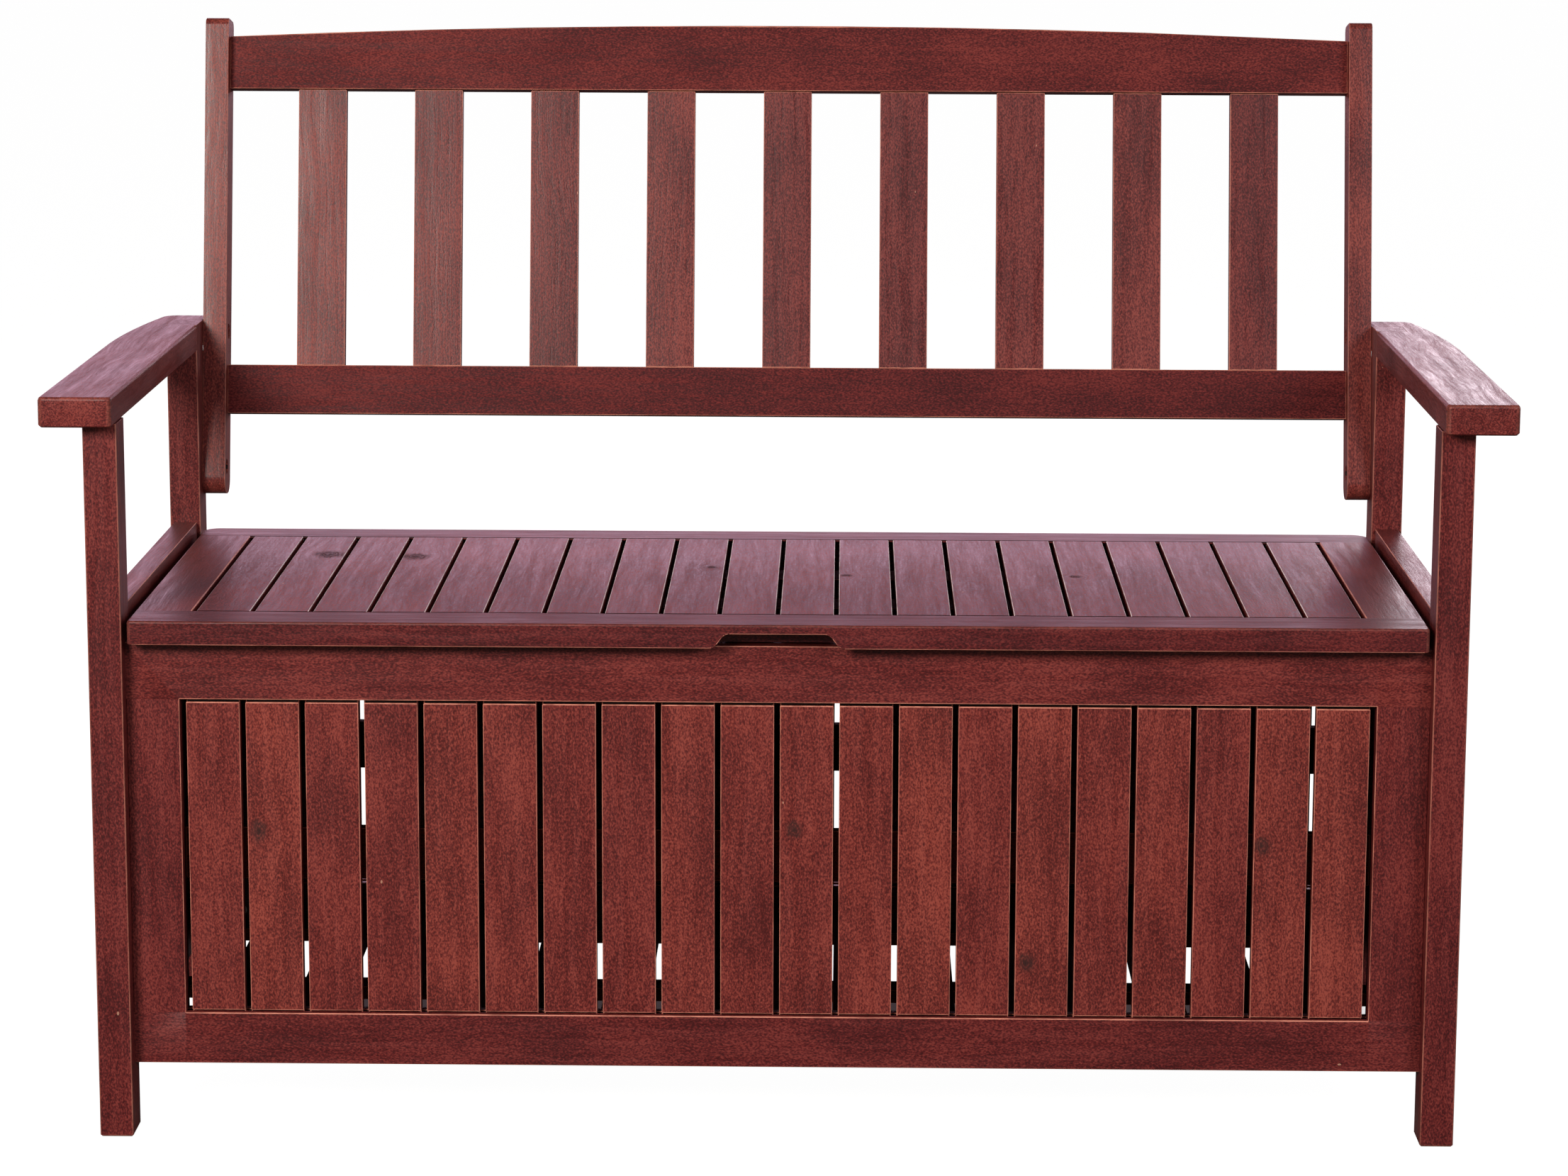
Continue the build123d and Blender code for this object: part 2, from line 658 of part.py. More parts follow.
def back():
    """Leaning back: stiles, arched crest rail, lower rail and slats."""
    room = back_slat_tenon_length + groove_end_room
    lower_tenon, crest_tenon = back_tenon_heights()
    lower_outline = [
        Polyline(
            (-back_half, lower_rail_rise),
            (back_half, lower_rail_rise),
            (back_half, lower_rail_top),
            (-back_half, lower_rail_top),
            close=True,
        )
    ]
    crest_outline = [
        Polyline(
            (-back_half, crest_end_top),
            (-back_half, crest_rail_rise),
            (back_half, crest_rail_rise),
            (back_half, crest_end_top),
        ),
        ThreePointArc(
            (back_half, crest_end_top),
            (0, crest_end_top + crest_arch),
            (-back_half, crest_end_top),
        ),
    ]
    lower = back_rail(lower_outline, lower_tenon, (lower_rail_top - room, lower_rail_top))
    crest = back_rail(crest_outline, crest_tenon, (crest_rail_rise, crest_rail_rise + room))
    stile = back_stile()
    pieces = {
        "back_stile_right": stile,
        "back_stile_left": mirrored(stile),
        "back_lower_rail": back_frame * lower,
        "back_crest_rail": back_frame * crest,
    }
    tenon_width = slat_width - 2 * back_slat_tenon_inset
    clear = crest_rail_rise - lower_rail_top
    slat = tongued_slat(clear, 0, 0, tenon_width, back_slat_tenon_length)
    middle_z = (crest_rail_rise + lower_rail_top) / 2
    for i, x in enumerate(back_slat_middles(), start=1):
        pieces[f"back_slat_{i}"] = back_frame * Pos(x, back_rail_middle, middle_z) * slat
    return pieces


def fasteners():
    """Bolts of the panels and of the back, and the barrel nuts in the panel rails."""
    panel_bolts, back_bolts, barrels = [], [], []
    head_seat = leg_inner + leg_thickness - counterbore_depth
    panel_reach = panel_bolt_reach + leg_thickness - counterbore_depth
    for panel_front, inside in ((panel_setback, 1), (rear_panel_front, -1)):
        face = panel_front + rail_thickness / 2 + inside * rail_thickness / 2
        for side in (-1, 1):
            for y, z in panel_bolt_places(panel_front):
                hole = bolt_hole((side * head_seat, y, z), -side, panel_reach)
                panel_bolts.append(bolt((side * head_seat, y, z), -side, panel_reach))
                start = (side * (leg_inner - barrel_from_end), face, z)
                barrels.append(rod(barrel_radius, start, -inside * barrel_length, "y") - hole)
    stile_seat = back_half + counterbore_depth
    back_reach_in = back_bolt_reach + back_stile_thickness - counterbore_depth
    for side in (-1, 1):
        for y, z in back_bolt_places():
            back_bolts.append(bolt((side * stile_seat, y, z), side, back_reach_in))
    return {"panel_bolts": panel_bolts, "back_bolts": back_bolts, "barrel_nuts": barrels}


def sides():
    """Legs, armrests and side panels, right-hand pieces first and then their mirror images."""
    low_tenon, high_tenon = side_tenon_middles()
    right = {
        "leg_front": leg(True),
        "leg_rear": leg(False),
        "armrest": armrest(),
        "side_bottom_rail": side_rail(panel_bottom, panel_opening_bottom, low_tenon, True),
        "side_top_rail": side_rail(side_rail_top - side_rail_height, side_rail_top, high_tenon, False),
    }
    pieces = {}
    for name, shape in right.items():
        pieces[f"{name}_right"] = shape
        pieces[f"{name}_left"] = mirrored(shape)
    slats = side_slats()
    pieces["side_slats_right"] = slats
    pieces["side_slats_left"] = [mirrored(slat) for slat in slats]
    return pieces


def hinges():
    """Both hinges and their screws."""
    pieces = {}
    for side, x_hinge in zip(("left", "right"), hinge_middles()):
        frame_leaf, lid_leaf, pin = hinge(x_hinge)
        pieces[f"hinge_frame_leaf_{side}"] = frame_leaf
        pieces[f"hinge_lid_leaf_{side}"] = lid_leaf
        pieces[f"hinge_pin_{side}"] = pin
    pieces["hinge_frame_screws"] = [s for x in hinge_middles() for s in frame_screws(x)]
    pieces["hinge_lid_screws"] = [s for x in hinge_middles() for s in lid_screws(x)]
    return pieces


def bench():
    """Every piece of the bench by its name."""
    front = panel("front", panel_setback, panel_rail_top, 1)
    rear = panel("rear", rear_panel_front, rear_rail_top, -1)
    for x_hinge in hinge_middles():
        for screw in frame_screws(x_hinge):
            rear["rear_top_rail"] -= screw
    return sides() | front | rear | chest_floor() | lid() | hinges() | back() | fasteners()


os.makedirs("parts", exist_ok=True)
for node, shape in bench().items():
    solids = shape if isinstance(shape, list) else [shape]
    placed = [datum * solid for solid in solids]
    whole = placed[0] if len(placed) == 1 else Compound(children=placed)
    export_step(whole, f"parts/{node}.step")

print(f"bench {2 * (leg_inner + armrest_width):.1f} x {armrest_nose + back_reach:.1f}")
hinge_y = hinge_axis_y + (armrest_nose - back_reach) / 2
print(f"lid hinge axis at y {hinge_y:.3f} z {hinge_axis_z:.3f}")
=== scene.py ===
"""Looks of a garden storage bench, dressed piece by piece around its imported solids.

The wooden solids are copied, their edges are eased, and every board gets its own fibre direction,
tone and worn corners. Metres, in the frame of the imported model: +X is the viewer's right, +Y is the
rear and +Z is up.
"""

import logging
import math
import random
from collections.abc import Sequence
from dataclasses import dataclass
from enum import Enum

import bmesh
import bpy
from mathutils import Matrix, Vector

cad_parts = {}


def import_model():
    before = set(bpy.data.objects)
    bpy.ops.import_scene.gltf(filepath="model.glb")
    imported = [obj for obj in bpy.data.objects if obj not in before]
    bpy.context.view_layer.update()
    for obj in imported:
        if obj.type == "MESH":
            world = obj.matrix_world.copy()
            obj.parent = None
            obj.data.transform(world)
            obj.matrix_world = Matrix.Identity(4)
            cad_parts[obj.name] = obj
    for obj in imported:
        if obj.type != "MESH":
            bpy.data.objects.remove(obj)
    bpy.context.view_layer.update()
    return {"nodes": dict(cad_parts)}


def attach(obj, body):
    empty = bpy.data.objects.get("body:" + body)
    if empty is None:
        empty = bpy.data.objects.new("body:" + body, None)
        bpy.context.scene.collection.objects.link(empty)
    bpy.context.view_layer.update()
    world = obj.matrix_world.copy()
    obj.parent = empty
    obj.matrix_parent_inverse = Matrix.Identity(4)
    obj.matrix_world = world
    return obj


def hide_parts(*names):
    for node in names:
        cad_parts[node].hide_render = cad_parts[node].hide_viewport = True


frame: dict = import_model()

log = logging.getLogger("bench")

Tree = bpy.types.NodeTree
Socket = bpy.types.NodeSocket
Shape = bmesh.types.BMesh
Vert = bmesh.types.BMVert
Layer = bmesh.types.BMLayerItem
Pair = tuple[float, float]
Triple = tuple[float, float, float]
Four = tuple[float, float, float, float]

# Lengths are in metres and turns in radians.
MM = 0.001
WELD = 2e-6
NEAR = 1e-5
FLAT = math.radians(0.6)
BACK_TILT = math.radians(11.5)
# Place from the knot, in its radii, on a board that has none.
FAR_KNOT = Vector((60.0, 60.0, 0.0))
UP = Vector((0.0, 0.0, 1.0))
REAR = Vector((0.0, 1.0, 0.0))
SIDES = {"left": Vector((-1.0, 0.0, 0.0)), "right": Vector((1.0, 0.0, 0.0))}


class Body(Enum):
    """The two moving groups of the bench."""

    FRAME = "frame"
    LID = "lid"


class Slot(Enum):
    """Material slots of the record."""

    STAINED = "wood_stained"
    INNER = "wood_inner"
    SCREW = "screw_steel"
    BOLT = "bolt_steel"


class Grain(Enum):
    """The way the fibres of a board run."""

    ACROSS = "across"
    DEEP = "deep"
    UPRIGHT = "upright"
    LEANING = "leaning"

    def axes(self) -> tuple[Vector, Vector, Vector]:
        """Find the three directions of a board.

        Returns:
            Directions along the fibres, across the board's face, and through it.
        """
        lean = Vector((0.0, math.sin(BACK_TILT), math.cos(BACK_TILT)))
        facing = Vector((0.0, math.cos(BACK_TILT), -math.sin(BACK_TILT)))
        x, y, z = Vector((1, 0, 0)), Vector((0, 1, 0)), Vector((0, 0, 1))
        return {
            Grain.ACROSS: (x, z, y),
            Grain.DEEP: (y, x, z),
            Grain.UPRIGHT: (z, x, y),
            Grain.LEANING: (lean, x, facing),
        }[self]


def linear(hex_tone: str) -> Four:
    """Turn an sRGB hex colour into linear values.

    Args:
        hex_tone: Six hex digits.

    Returns:
        Linear red, green, blue and full alpha.
    """
    shares = [int(hex_tone[i:i + 2], 16) / 255 for i in (0, 2, 4)]
    red, green, blue = [s / 12.92 if s <= 0.04045 else ((s + 0.055) / 1.055) ** 2.4 for s in shares]
    return (red, green, blue, 1.0)


def add_node(
    tree: Tree, kind: str, inputs: dict | None = None, out: str | int = 0, **settings: object
) -> Socket | None:
    """Add one shader node with its settings, and fill or link its inputs.

    Args:
        tree: Node tree that gets the node.
        kind: Blender's name of the node type, without the ShaderNode that each starts with.
        inputs: Sockets by name or number; a socket is linked, anything else is a value.
        out: Output to hand back, by name or number.
        **settings: Properties of the node itself.

    Returns:
        That output, or none if the node has no outputs.
    """
    node = tree.nodes.new(f"ShaderNode{kind}")
    for name, value in settings.items():
        setattr(node, name, value)
    for key, value in (inputs or {}).items():
        if isinstance(value, Socket):
            tree.links.new(value, node.inputs[key])
        else:
            node.inputs[key].default_value = value
    return node.outputs[out] if node.outputs else None


def new_tree(name: str) -> tuple[bpy.types.Material, Tree]:
    """Make an empty node material.

    Args:
        name: Name of the material.

    Returns:
        The material and its node tree.
    """
    material = bpy.data.materials.new(name)
    material.use_nodes = True
    material.node_tree.nodes.clear()
    return material, material.node_tree


def add_object(name: str, data: bpy.types.ID) -> bpy.types.Object:
    """Add an object to the scene.

    Args:
        name: Name of the object.
        data: Its mesh, light or camera.

    Returns:
        The object.
    """
    made = bpy.data.objects.new(name, data)
    bpy.context.scene.collection.objects.link(made)
    return made


def make_mesh(shape: Shape, name: str) -> bpy.types.Mesh:
    """Turn a shape into a mesh, and free the shape.

    Args:
        shape: The shape.
        name: Name of the mesh.

    Returns:
        The mesh.
    """
    made = bpy.data.meshes.new(name)
    shape.to_mesh(made)
    shape.free()
    return made


@dataclass(frozen=True)
class Pattern:
    """Real size of a pattern's grains along and across a board, in millimetres, and its finer detail."""

    along: float
    across: float
    detail: float = 2.0
    rough: float = 0.5

    def scale(self) -> Triple:
        """Grains per metre along, across and through the board."""
        return (1 / (self.along * MM), 1 / (self.across * MM), 1 / (self.across * MM))


@dataclass(frozen=True)
class StainedAcacia:
    """Acacia boards, planed, stained deep red brown and wiped with a thin satin oil.

    The stain takes up unevenly, so each board is mottled and differs from its neighbours. The fibres
    show as faint streaks, the sanded edges let the tan wood through, and the satin film shines at a
    low angle.
    """

    name: str = "stained_acacia_satin"
    # Colours of the stain, the bare wood, the knots, and the painted shade in joints and seams.
    dark_tone: str = "451718"
    body_tone: str = "662423"
    warm_tone: str = "863A33"
    worn_tone: str = "D98E78"
    joint_shade_tone: str = "140606"
    knot_tone: str = "2C120F"
    speck_tone: str = "C99A80"
    # Shine of the oil film, which is duller on worn edges and knots.
    ior: float = 1.5
    gloss: float = 0.32
    roughness: float = 0.40
    rough_spread: float = 0.24
    worn_roughness: float = 0.18
    knot_roughness: float = 0.30
    # Differences from board to board.
    board_spread: float = 0.10
    hue_spread: float = 0.0015
    # Worn edges, in patches.
    worn_share: float = 0.95
    least_worn: float = 0.40
    worn_range: Pair = (0.34, 0.60)
    patch: Pattern = Pattern(34.0, 12.0, 3.0, 0.6)
    # Fibres, clouds and grit of the stain.
    grid_turn: float = math.radians(40)
    streak: Pattern = Pattern(170.0, 7.0, 4.0, 0.6)
    fibre: Pattern = Pattern(26.0, 1.7, 2.0, 0.55)
    cloud: Pattern = Pattern(92.4, 42.0)
    mottle: Pattern = Pattern(2.1, 1.3, 1.0)
    wander: Pattern = Pattern(160.0, 60.0, 1.0)
    wander_shift_mm: float = 14.0
    bow_mm: float = 4.0
    bow_reach: Pair = (0.4, 5.5)
    tone_shares: Four = (0.34, 0.34, 0.60, 1.45)
    tone_stops: Triple = (0.22, 0.50, 0.80)
    # Relief of the fibres.
    relief_shares: Triple = (1.0, 0.6, 0.4)
    relief_range: Pair = (0.2, 0.8)
    relief_strength: float = 0.30
    relief_mm: float = 0.5
    # Rings of the knots.
    knot_radii: float = 2.0
    knot_heart: float = 0.95
    knot_rings: tuple[Pair, ...] = (
        (0.16, 0.80), (0.32, 0.40), (0.44, 0.85), (0.58, 0.45), (0.78, 0.16),
    )
    knot_wave: Pattern = Pattern(14.0, 3.2, 2.0, 0.6)
    knot_waviness: float = 0.9
    # Chips.
    speck: Pattern = Pattern(61.2, 34.0)
    speck_size: float = 0.028
    speck_rarity: float = 0.55
    speck_share: float = 0.6

    def material(self) -> bpy.types.Material:
        """Build the node material.

        Returns:
            The new material.
        """
        made, tree = new_tree(self.name)
        grain, knot, board, wear_and_shade = [
            add_node(tree, "Attribute", out=out, attribute_name=name)
            for name, out in (("grain", "Vector"), ("knot", "Vector"), ("board", "Fac"), ("wear_and_shade", "Fac"))
        ]
        reach = add_node(tree, "VectorMath", {0: knot}, out="Value", operation="LENGTH")
        flow = self.flow(tree, grain, knot, reach)
        streak = self.noise(tree, flow, self.streak)
        fibre = self.noise(tree, flow, self.fibre)
        cloud = self.noise(tree, grain, self.cloud)
        # The real stain grit is far finer; it is drawn this coarse so that it shows at all.
        mottle = self.noise(tree, grain, self.mottle)
        tone = self.tone(tree, (streak, fibre, cloud, mottle), self.tone_shares)
        colour = self.colour(tree, tone, board)
        colour, heart = self.knots(tree, colour, reach, grain)
        colour = self.specks(tree, colour, grain)
        # Worn edges, and painted shade in joints and seams.
        colour, worn = self.edges(tree, colour, wear_and_shade, grain)
        relief = self.tone(tree, (streak, fibre, mottle), self.relief_shares)
        low, high = self.relief_range
        rough = add_node(
            tree, "MapRange",
            {"Value": relief, "From Min": low, "From Max": high,
             "To Min": self.roughness - self.rough_spread / 2,
             "To Max": self.roughness + self.rough_spread / 2},
        )
        for place, share in ((worn, self.worn_roughness), (heart, self.knot_roughness)):
            rough = add_node(tree, "Math", {0: place, 1: share, 2: rough}, operation="MULTIPLY_ADD")
        bump = add_node(
            tree, "Bump",
            {"Height": relief, "Strength": self.relief_strength, "Distance": self.relief_mm * MM},
        )
        shader = add_node(
            tree, "BsdfPrincipled",
            {"Base Color": colour, "Roughness": rough, "Normal": bump, "IOR": self.ior,
             "Specular IOR Level": self.gloss},
        )
        add_node(tree, "OutputMaterial", {"Surface": shader})
        return made

    def flow(self, tree: Tree, grain: Socket, knot: Socket, reach: Socket) -> Socket:
        """Fibre coordinates that wander a little and bow around a knot.

        Args:
            tree: Node tree of the material.
            grain: Place along, across and through the board.
            knot: Place from the board's knot, in knot radii.
            reach: Distance from the knot, in knot radii.

        Returns:
            The bent coordinates.
        """
        inside, outside = self.bow_reach
        bow = add_node(
            tree, "MapRange",
            {"Value": reach, "From Min": inside, "From Max": outside, "To Min": 1.0, "To Max": 0.0},
            interpolation_type="SMOOTHSTEP",
        )
        push = add_node(
            tree, "VectorMath", {0: knot, 1: (0.0, -self.bow_mm * MM, 0.0)}, operation="MULTIPLY"
        )
        push = add_node(tree, "VectorMath", {0: push, "Scale": bow}, operation="SCALE")
        bent = add_node(tree, "VectorMath", {0: grain, 1: push}, operation="ADD")
        spaced = add_node(tree, "VectorMath", {0: grain, 1: self.wander.scale()}, operation="MULTIPLY")
        wander = add_node(
            tree, "TexNoise", {"Vector": spaced, "Scale": 1.0, "Detail": self.wander.detail}, out="Color"
        )
        shift = self.wander_shift_mm * MM
        return add_node(
            tree, "VectorMath", {0: wander, 1: (0.0, shift, shift), 2: bent}, operation="MULTIPLY_ADD"
        )

    def noise(self, tree: Tree, place: Socket, pattern: Pattern) -> Socket:
        """Soft random pattern.

        Its own grid is turned, so that no board's face lies along it and comes out flat.

        Args:
            tree: Node tree of the material.
            place: Place on the board.
            pattern: Size and detail of its grains.

        Returns:
            The pattern, from nought to one.
        """
        spaced = add_node(tree, "VectorMath", {0: place, 1: pattern.scale()}, operation="MULTIPLY")
        spaced = add_node(
            tree, "VectorRotate",
            {"Vector": spaced, "Axis": (1.0, 1.0, 1.0), "Angle": self.grid_turn},
            rotation_type="AXIS_ANGLE",
        )
        return add_node(
            tree, "TexNoise",
            {"Vector": spaced, "Scale": 1.0, "Detail": pattern.detail, "Roughness": pattern.rough},
        )

    def tone(self, tree: Tree, patterns: Sequence[Socket], shares: Sequence[float]) -> Socket:
        """Sum of patterns about a middle of one half.

        Args:
            tree: Node tree of the material.
            patterns: The patterns.
            shares: Share of each.

        Returns:
            The sum.
        """
        total: Socket | float = 0.5 - 0.5 * sum(shares)
        for pattern, share in zip(patterns, shares):
            total = add_node(tree, "Math", {0: pattern, 1: share, 2: total}, operation="MULTIPLY_ADD")
        return total

    def colour(self, tree: Tree, tone: Socket, board: Socket) -> Socket:
        """Stain colour from the tone, lighter or darker from board to board.

        Args:
            tree: Node tree of the material.
            tone: How light the stain is at each place.
            board: How light the whole board is.

        Returns:
            The colour.
        """
        ramp = add_node(tree, "ValToRGB", {"Fac": tone})
        stops = ramp.node.color_ramp.elements
        dark, body, warm = self.tone_stops
        stops[0].position, stops[0].color = dark, linear(self.dark_tone)
        stops[1].position, stops[1].color = warm, linear(self.warm_tone)
        stops.new(body).color = linear(self.body_tone)
        value, hue = [
            add_node(
                tree, "MapRange",
                {"Value": board, "To Min": mean - spread, "To Max": mean + spread}, clamp=False,
            )
            for mean, spread in ((1.0, self.board_spread), (0.5, self.hue_spread))
        ]
        return add_node(tree, "HueSaturation", {"Hue": hue, "Value": value, "Color": ramp})

    def knots(self, tree: Tree, colour: Socket, reach: Socket, grain: Socket) -> tuple[Socket, Socket]:
        """Dark heart and wavy ring of a knot on the boards that have one.

        Args:
            tree: Node tree of the material.
            colour: Colour of the stained face.
            reach: Distance from the knot's heart, in its radii.
            grain: Place along, across and through the board.

        Returns:
            The colour with its knots, and how dark the knot is at each place.
        """
        waves = self.noise(tree, grain, self.knot_wave)
        scaled: Socket | float = -self.knot_waviness / 2
        for pattern, share in ((waves, self.knot_waviness), (reach, 1 / self.knot_radii)):
            scaled = add_node(tree, "Math", {0: pattern, 1: share, 2: scaled}, operation="MULTIPLY_ADD")
        ring = add_node(tree, "ValToRGB", {"Fac": scaled})
        stops = ring.node.color_ramp.elements
        stops[0].position, stops[0].color = 0.0, (self.knot_heart,) * 3 + (1.0,)
        stops[1].position, stops[1].color = 1.0, (0.0, 0.0, 0.0, 1.0)
        for position, share in self.knot_rings:
            stops.new(position).color = (share, share, share, 1.0)
        mixed = add_node(
            tree, "Mix", {0: ring, 6: colour, 7: linear(self.knot_tone)}, out=2, data_type="RGBA"
        )
        return mixed, ring

    def specks(self, tree: Tree, colour: Socket, grain: Socket) -> Socket:
        """Few tiny chips where the bare wood shows.

        Args:
            tree: Node tree of the material.
            colour: Colour of the stained face.
            grain: Place along, across and through the board.

        Returns:
            The colour with its chips.
        """
        spaced = add_node(tree, "VectorMath", {0: grain, 1: self.speck.scale()}, operation="MULTIPLY")
        cells = add_node(tree, "TexVoronoi", {"Vector": spaced, "Scale": 1.0, "Randomness": 1.0})
        share = add_node(tree, "Math", {0: cells, 1: self.speck_size}, operation="LESS_THAN")
        chance = add_node(tree, "SeparateColor", {"Color": cells.node.outputs["Color"]})
        few = add_node(tree, "Math", {0: chance, 1: self.speck_rarity}, operation="GREATER_THAN")
        for factor in (few, self.speck_share):
            share = add_node(tree, "Math", {0: share, 1: factor}, operation="MULTIPLY")
        return add_node(
            tree, "Mix", {0: share, 6: colour, 7: linear(self.speck_tone)}, out=2, data_type="RGBA"
        )

    def edges(self, tree: Tree, colour: Socket, wear_and_shade: Socket, grain: Socket) -> tuple[Socket, Socket]:
        """Sanded corners where the stain has rubbed off, and painted shade in joints and seams.

        Args:
            tree: Node tree of the material.
            colour: Colour of the stained faces.
            wear_and_shade: One on the eased edges, nought on the faces, and below nought for the painted
                shade in joints and seams.
            grain: Place along, across and through the board.

        Returns:
            The colour with its worn edges and painted shade, and how worn each place is.
        """
        patchy = self.noise(tree, grain, self.patch)
        low, high = self.worn_range
        kept = add_node(
            tree, "MapRange",
            {"Value": patchy, "From Min": low, "From Max": high, "To Min": self.least_worn,
             "To Max": self.worn_share},
            interpolation_type="SMOOTHSTEP",
        )
        bare = add_node(tree, "Math", {0: wear_and_shade, 1: 0.0}, operation="MAXIMUM")
        worn = add_node(tree, "Math", {0: bare, 1: kept}, operation="MULTIPLY")
        # Below nought, the mark gives painted shade in joints and seams.
        joint_shade = add_node(tree, "Math", {0: wear_and_shade, 1: -1.0}, operation="MULTIPLY", use_clamp=True)
        for share, tone in ((worn, self.worn_tone), (joint_shade, self.joint_shade_tone)):
            colour = add_node(tree, "Mix", {0: share, 6: colour, 7: linear(tone)}, out=2, data_type="RGBA")
        return colour, worn


@dataclass(frozen=True)
class PlatedSteel:
    """Steel fittings with a thin bright zinc plate, tumbled, so the shine is soft and a little cloudy."""

    name: str
    tone: str = "A9ABA8"
    tarnish_tone: str = "7B7C78"
    bright_roughness: float = 0.26
    dull_roughness: float = 0.46
    cloud_mm: float = 5.0
    cloud_detail: float = 4.0
    cloud_rough: float = 0.6
    grit_mm: float = 0.9
    grit_strength: float = 0.12
    grit_depth_mm: float = 0.1

    def material(self) -> bpy.types.Material:
        """Build the node material.

        Returns:
            The new material.
        """
        made, tree = new_tree(self.name)
        place = add_node(tree, "TexCoord", out="Object")
        cloud = add_node(
            tree, "TexNoise",
            {"Vector": place, "Scale": 1 / (self.cloud_mm * MM), "Detail": self.cloud_detail,
             "Roughness": self.cloud_rough},
        )
        grit = add_node(tree, "TexNoise", {"Vector": place, "Scale": 1 / (self.grit_mm * MM)})
        colour = add_node(
            tree, "Mix",
            {0: cloud, 6: linear(self.tarnish_tone), 7: linear(self.tone)},
            out=2, data_type="RGBA",
        )
        rough = add_node(
            tree, "MapRange",
            {"Value": cloud, "To Min": self.dull_roughness, "To Max": self.bright_roughness},
        )
        bump = add_node(
            tree, "Bump",
            {"Height": grit, "Strength": self.grit_strength, "Distance": self.grit_depth_mm * MM},
        )
        shader = add_node(
            tree, "BsdfPrincipled",
            {"Base Color": colour, "Metallic": 1.0, "Roughness": rough, "Normal": bump},
        )
        add_node(tree, "OutputMaterial", {"Surface": shader})
        return made


@dataclass(frozen=True)
class Knot:
    """A knot in one board of a row.

    Attributes:
        board: Number of the board, counted from the viewer's left, or from the front in a side.
        along: Place along the fibres from the board's middle, in millimetres.
        across: Place across the board from its middle, in millimetres.
        radius: Radius of the dark ring, in millimetres.
    """

    board: int
    along: float
    across: float
    radius: float = 4.5


def islands(shape: Shape) -> list[list[Vert]]:
    """Sort a mesh into its separate boards.

    Args:
        shape: Mesh of one or more boards.

    Returns:
        The vertices of each board, the boards in order of their middles in X, then Y, then Z.
    """
    seen: set[Vert] = set()
    groups: list[list[Vert]] = []
    for start in shape.verts:
        if start in seen:
            continue
        seen.add(start)
        group = [start]
        for vert in group:
            near = [edge.other_vert(vert) for edge in vert.link_edges]
            fresh = [other for other in near if other not in seen]
            seen.update(fresh)
            group.extend(fresh)
        groups.append(group)
    return sorted(groups, key=lambda group: tuple(round(c, 5) for c in middle(group)))


def middle(group: Sequence[Vert]) -> Vector:
    """Find the middle of the box round some vertices.

    Args:
        group: The vertices.

    Returns:
        The middle.
    """
    low = Vector([min(v.co[i] for v in group) for i in range(3)])
    high = Vector([max(v.co[i] for v in group) for i in range(3)])
    return (low + high) / 2


def copy_solid(node: str, merge: bool = True) -> Shape:
    """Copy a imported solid's mesh and weld it.

    Args:
        node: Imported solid, or row of solids.
        merge: Whether triangles that lie in one plane become one face.

    Returns:
        The copy, which the caller frees.
    """
    shape = bmesh.new()
    shape.from_mesh(frame["nodes"][node].data)
    bmesh.ops.remove_doubles(shape, verts=shape.verts, dist=WELD)
    if merge:
        bmesh.ops.dissolve_limit(shape, angle_limit=FLAT, verts=shape.verts, edges=shape.edges)
    return shape


def install(mesh: bpy.types.Mesh, node: str, body: Body) -> bpy.types.Object:
    """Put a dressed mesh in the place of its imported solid.

    Args:
        mesh: Dressed mesh, named as its piece will be.
        node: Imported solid, or row of solids, that it stands for.
        body: Group that the piece moves with.

    Returns:
        The finished piece.
    """
    mesh.polygons.foreach_set("use_smooth", [True] * len(mesh.polygons))
    piece = add_object(mesh.name, mesh)
    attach(piece, body.value)
    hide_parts(node)
    log.info("%s: %d faces", piece.name, len(mesh.polygons))
    return piece


@dataclass(frozen=True)
class Span:
    """A stretch along a direction, in metres."""

    along: Vector
    low: float
    high: float

    def holds(self, point: Vector) -> bool:
        """Whether a point lies within the stretch."""
        return self.low - NEAR < point.dot(self.along) < self.high + NEAR


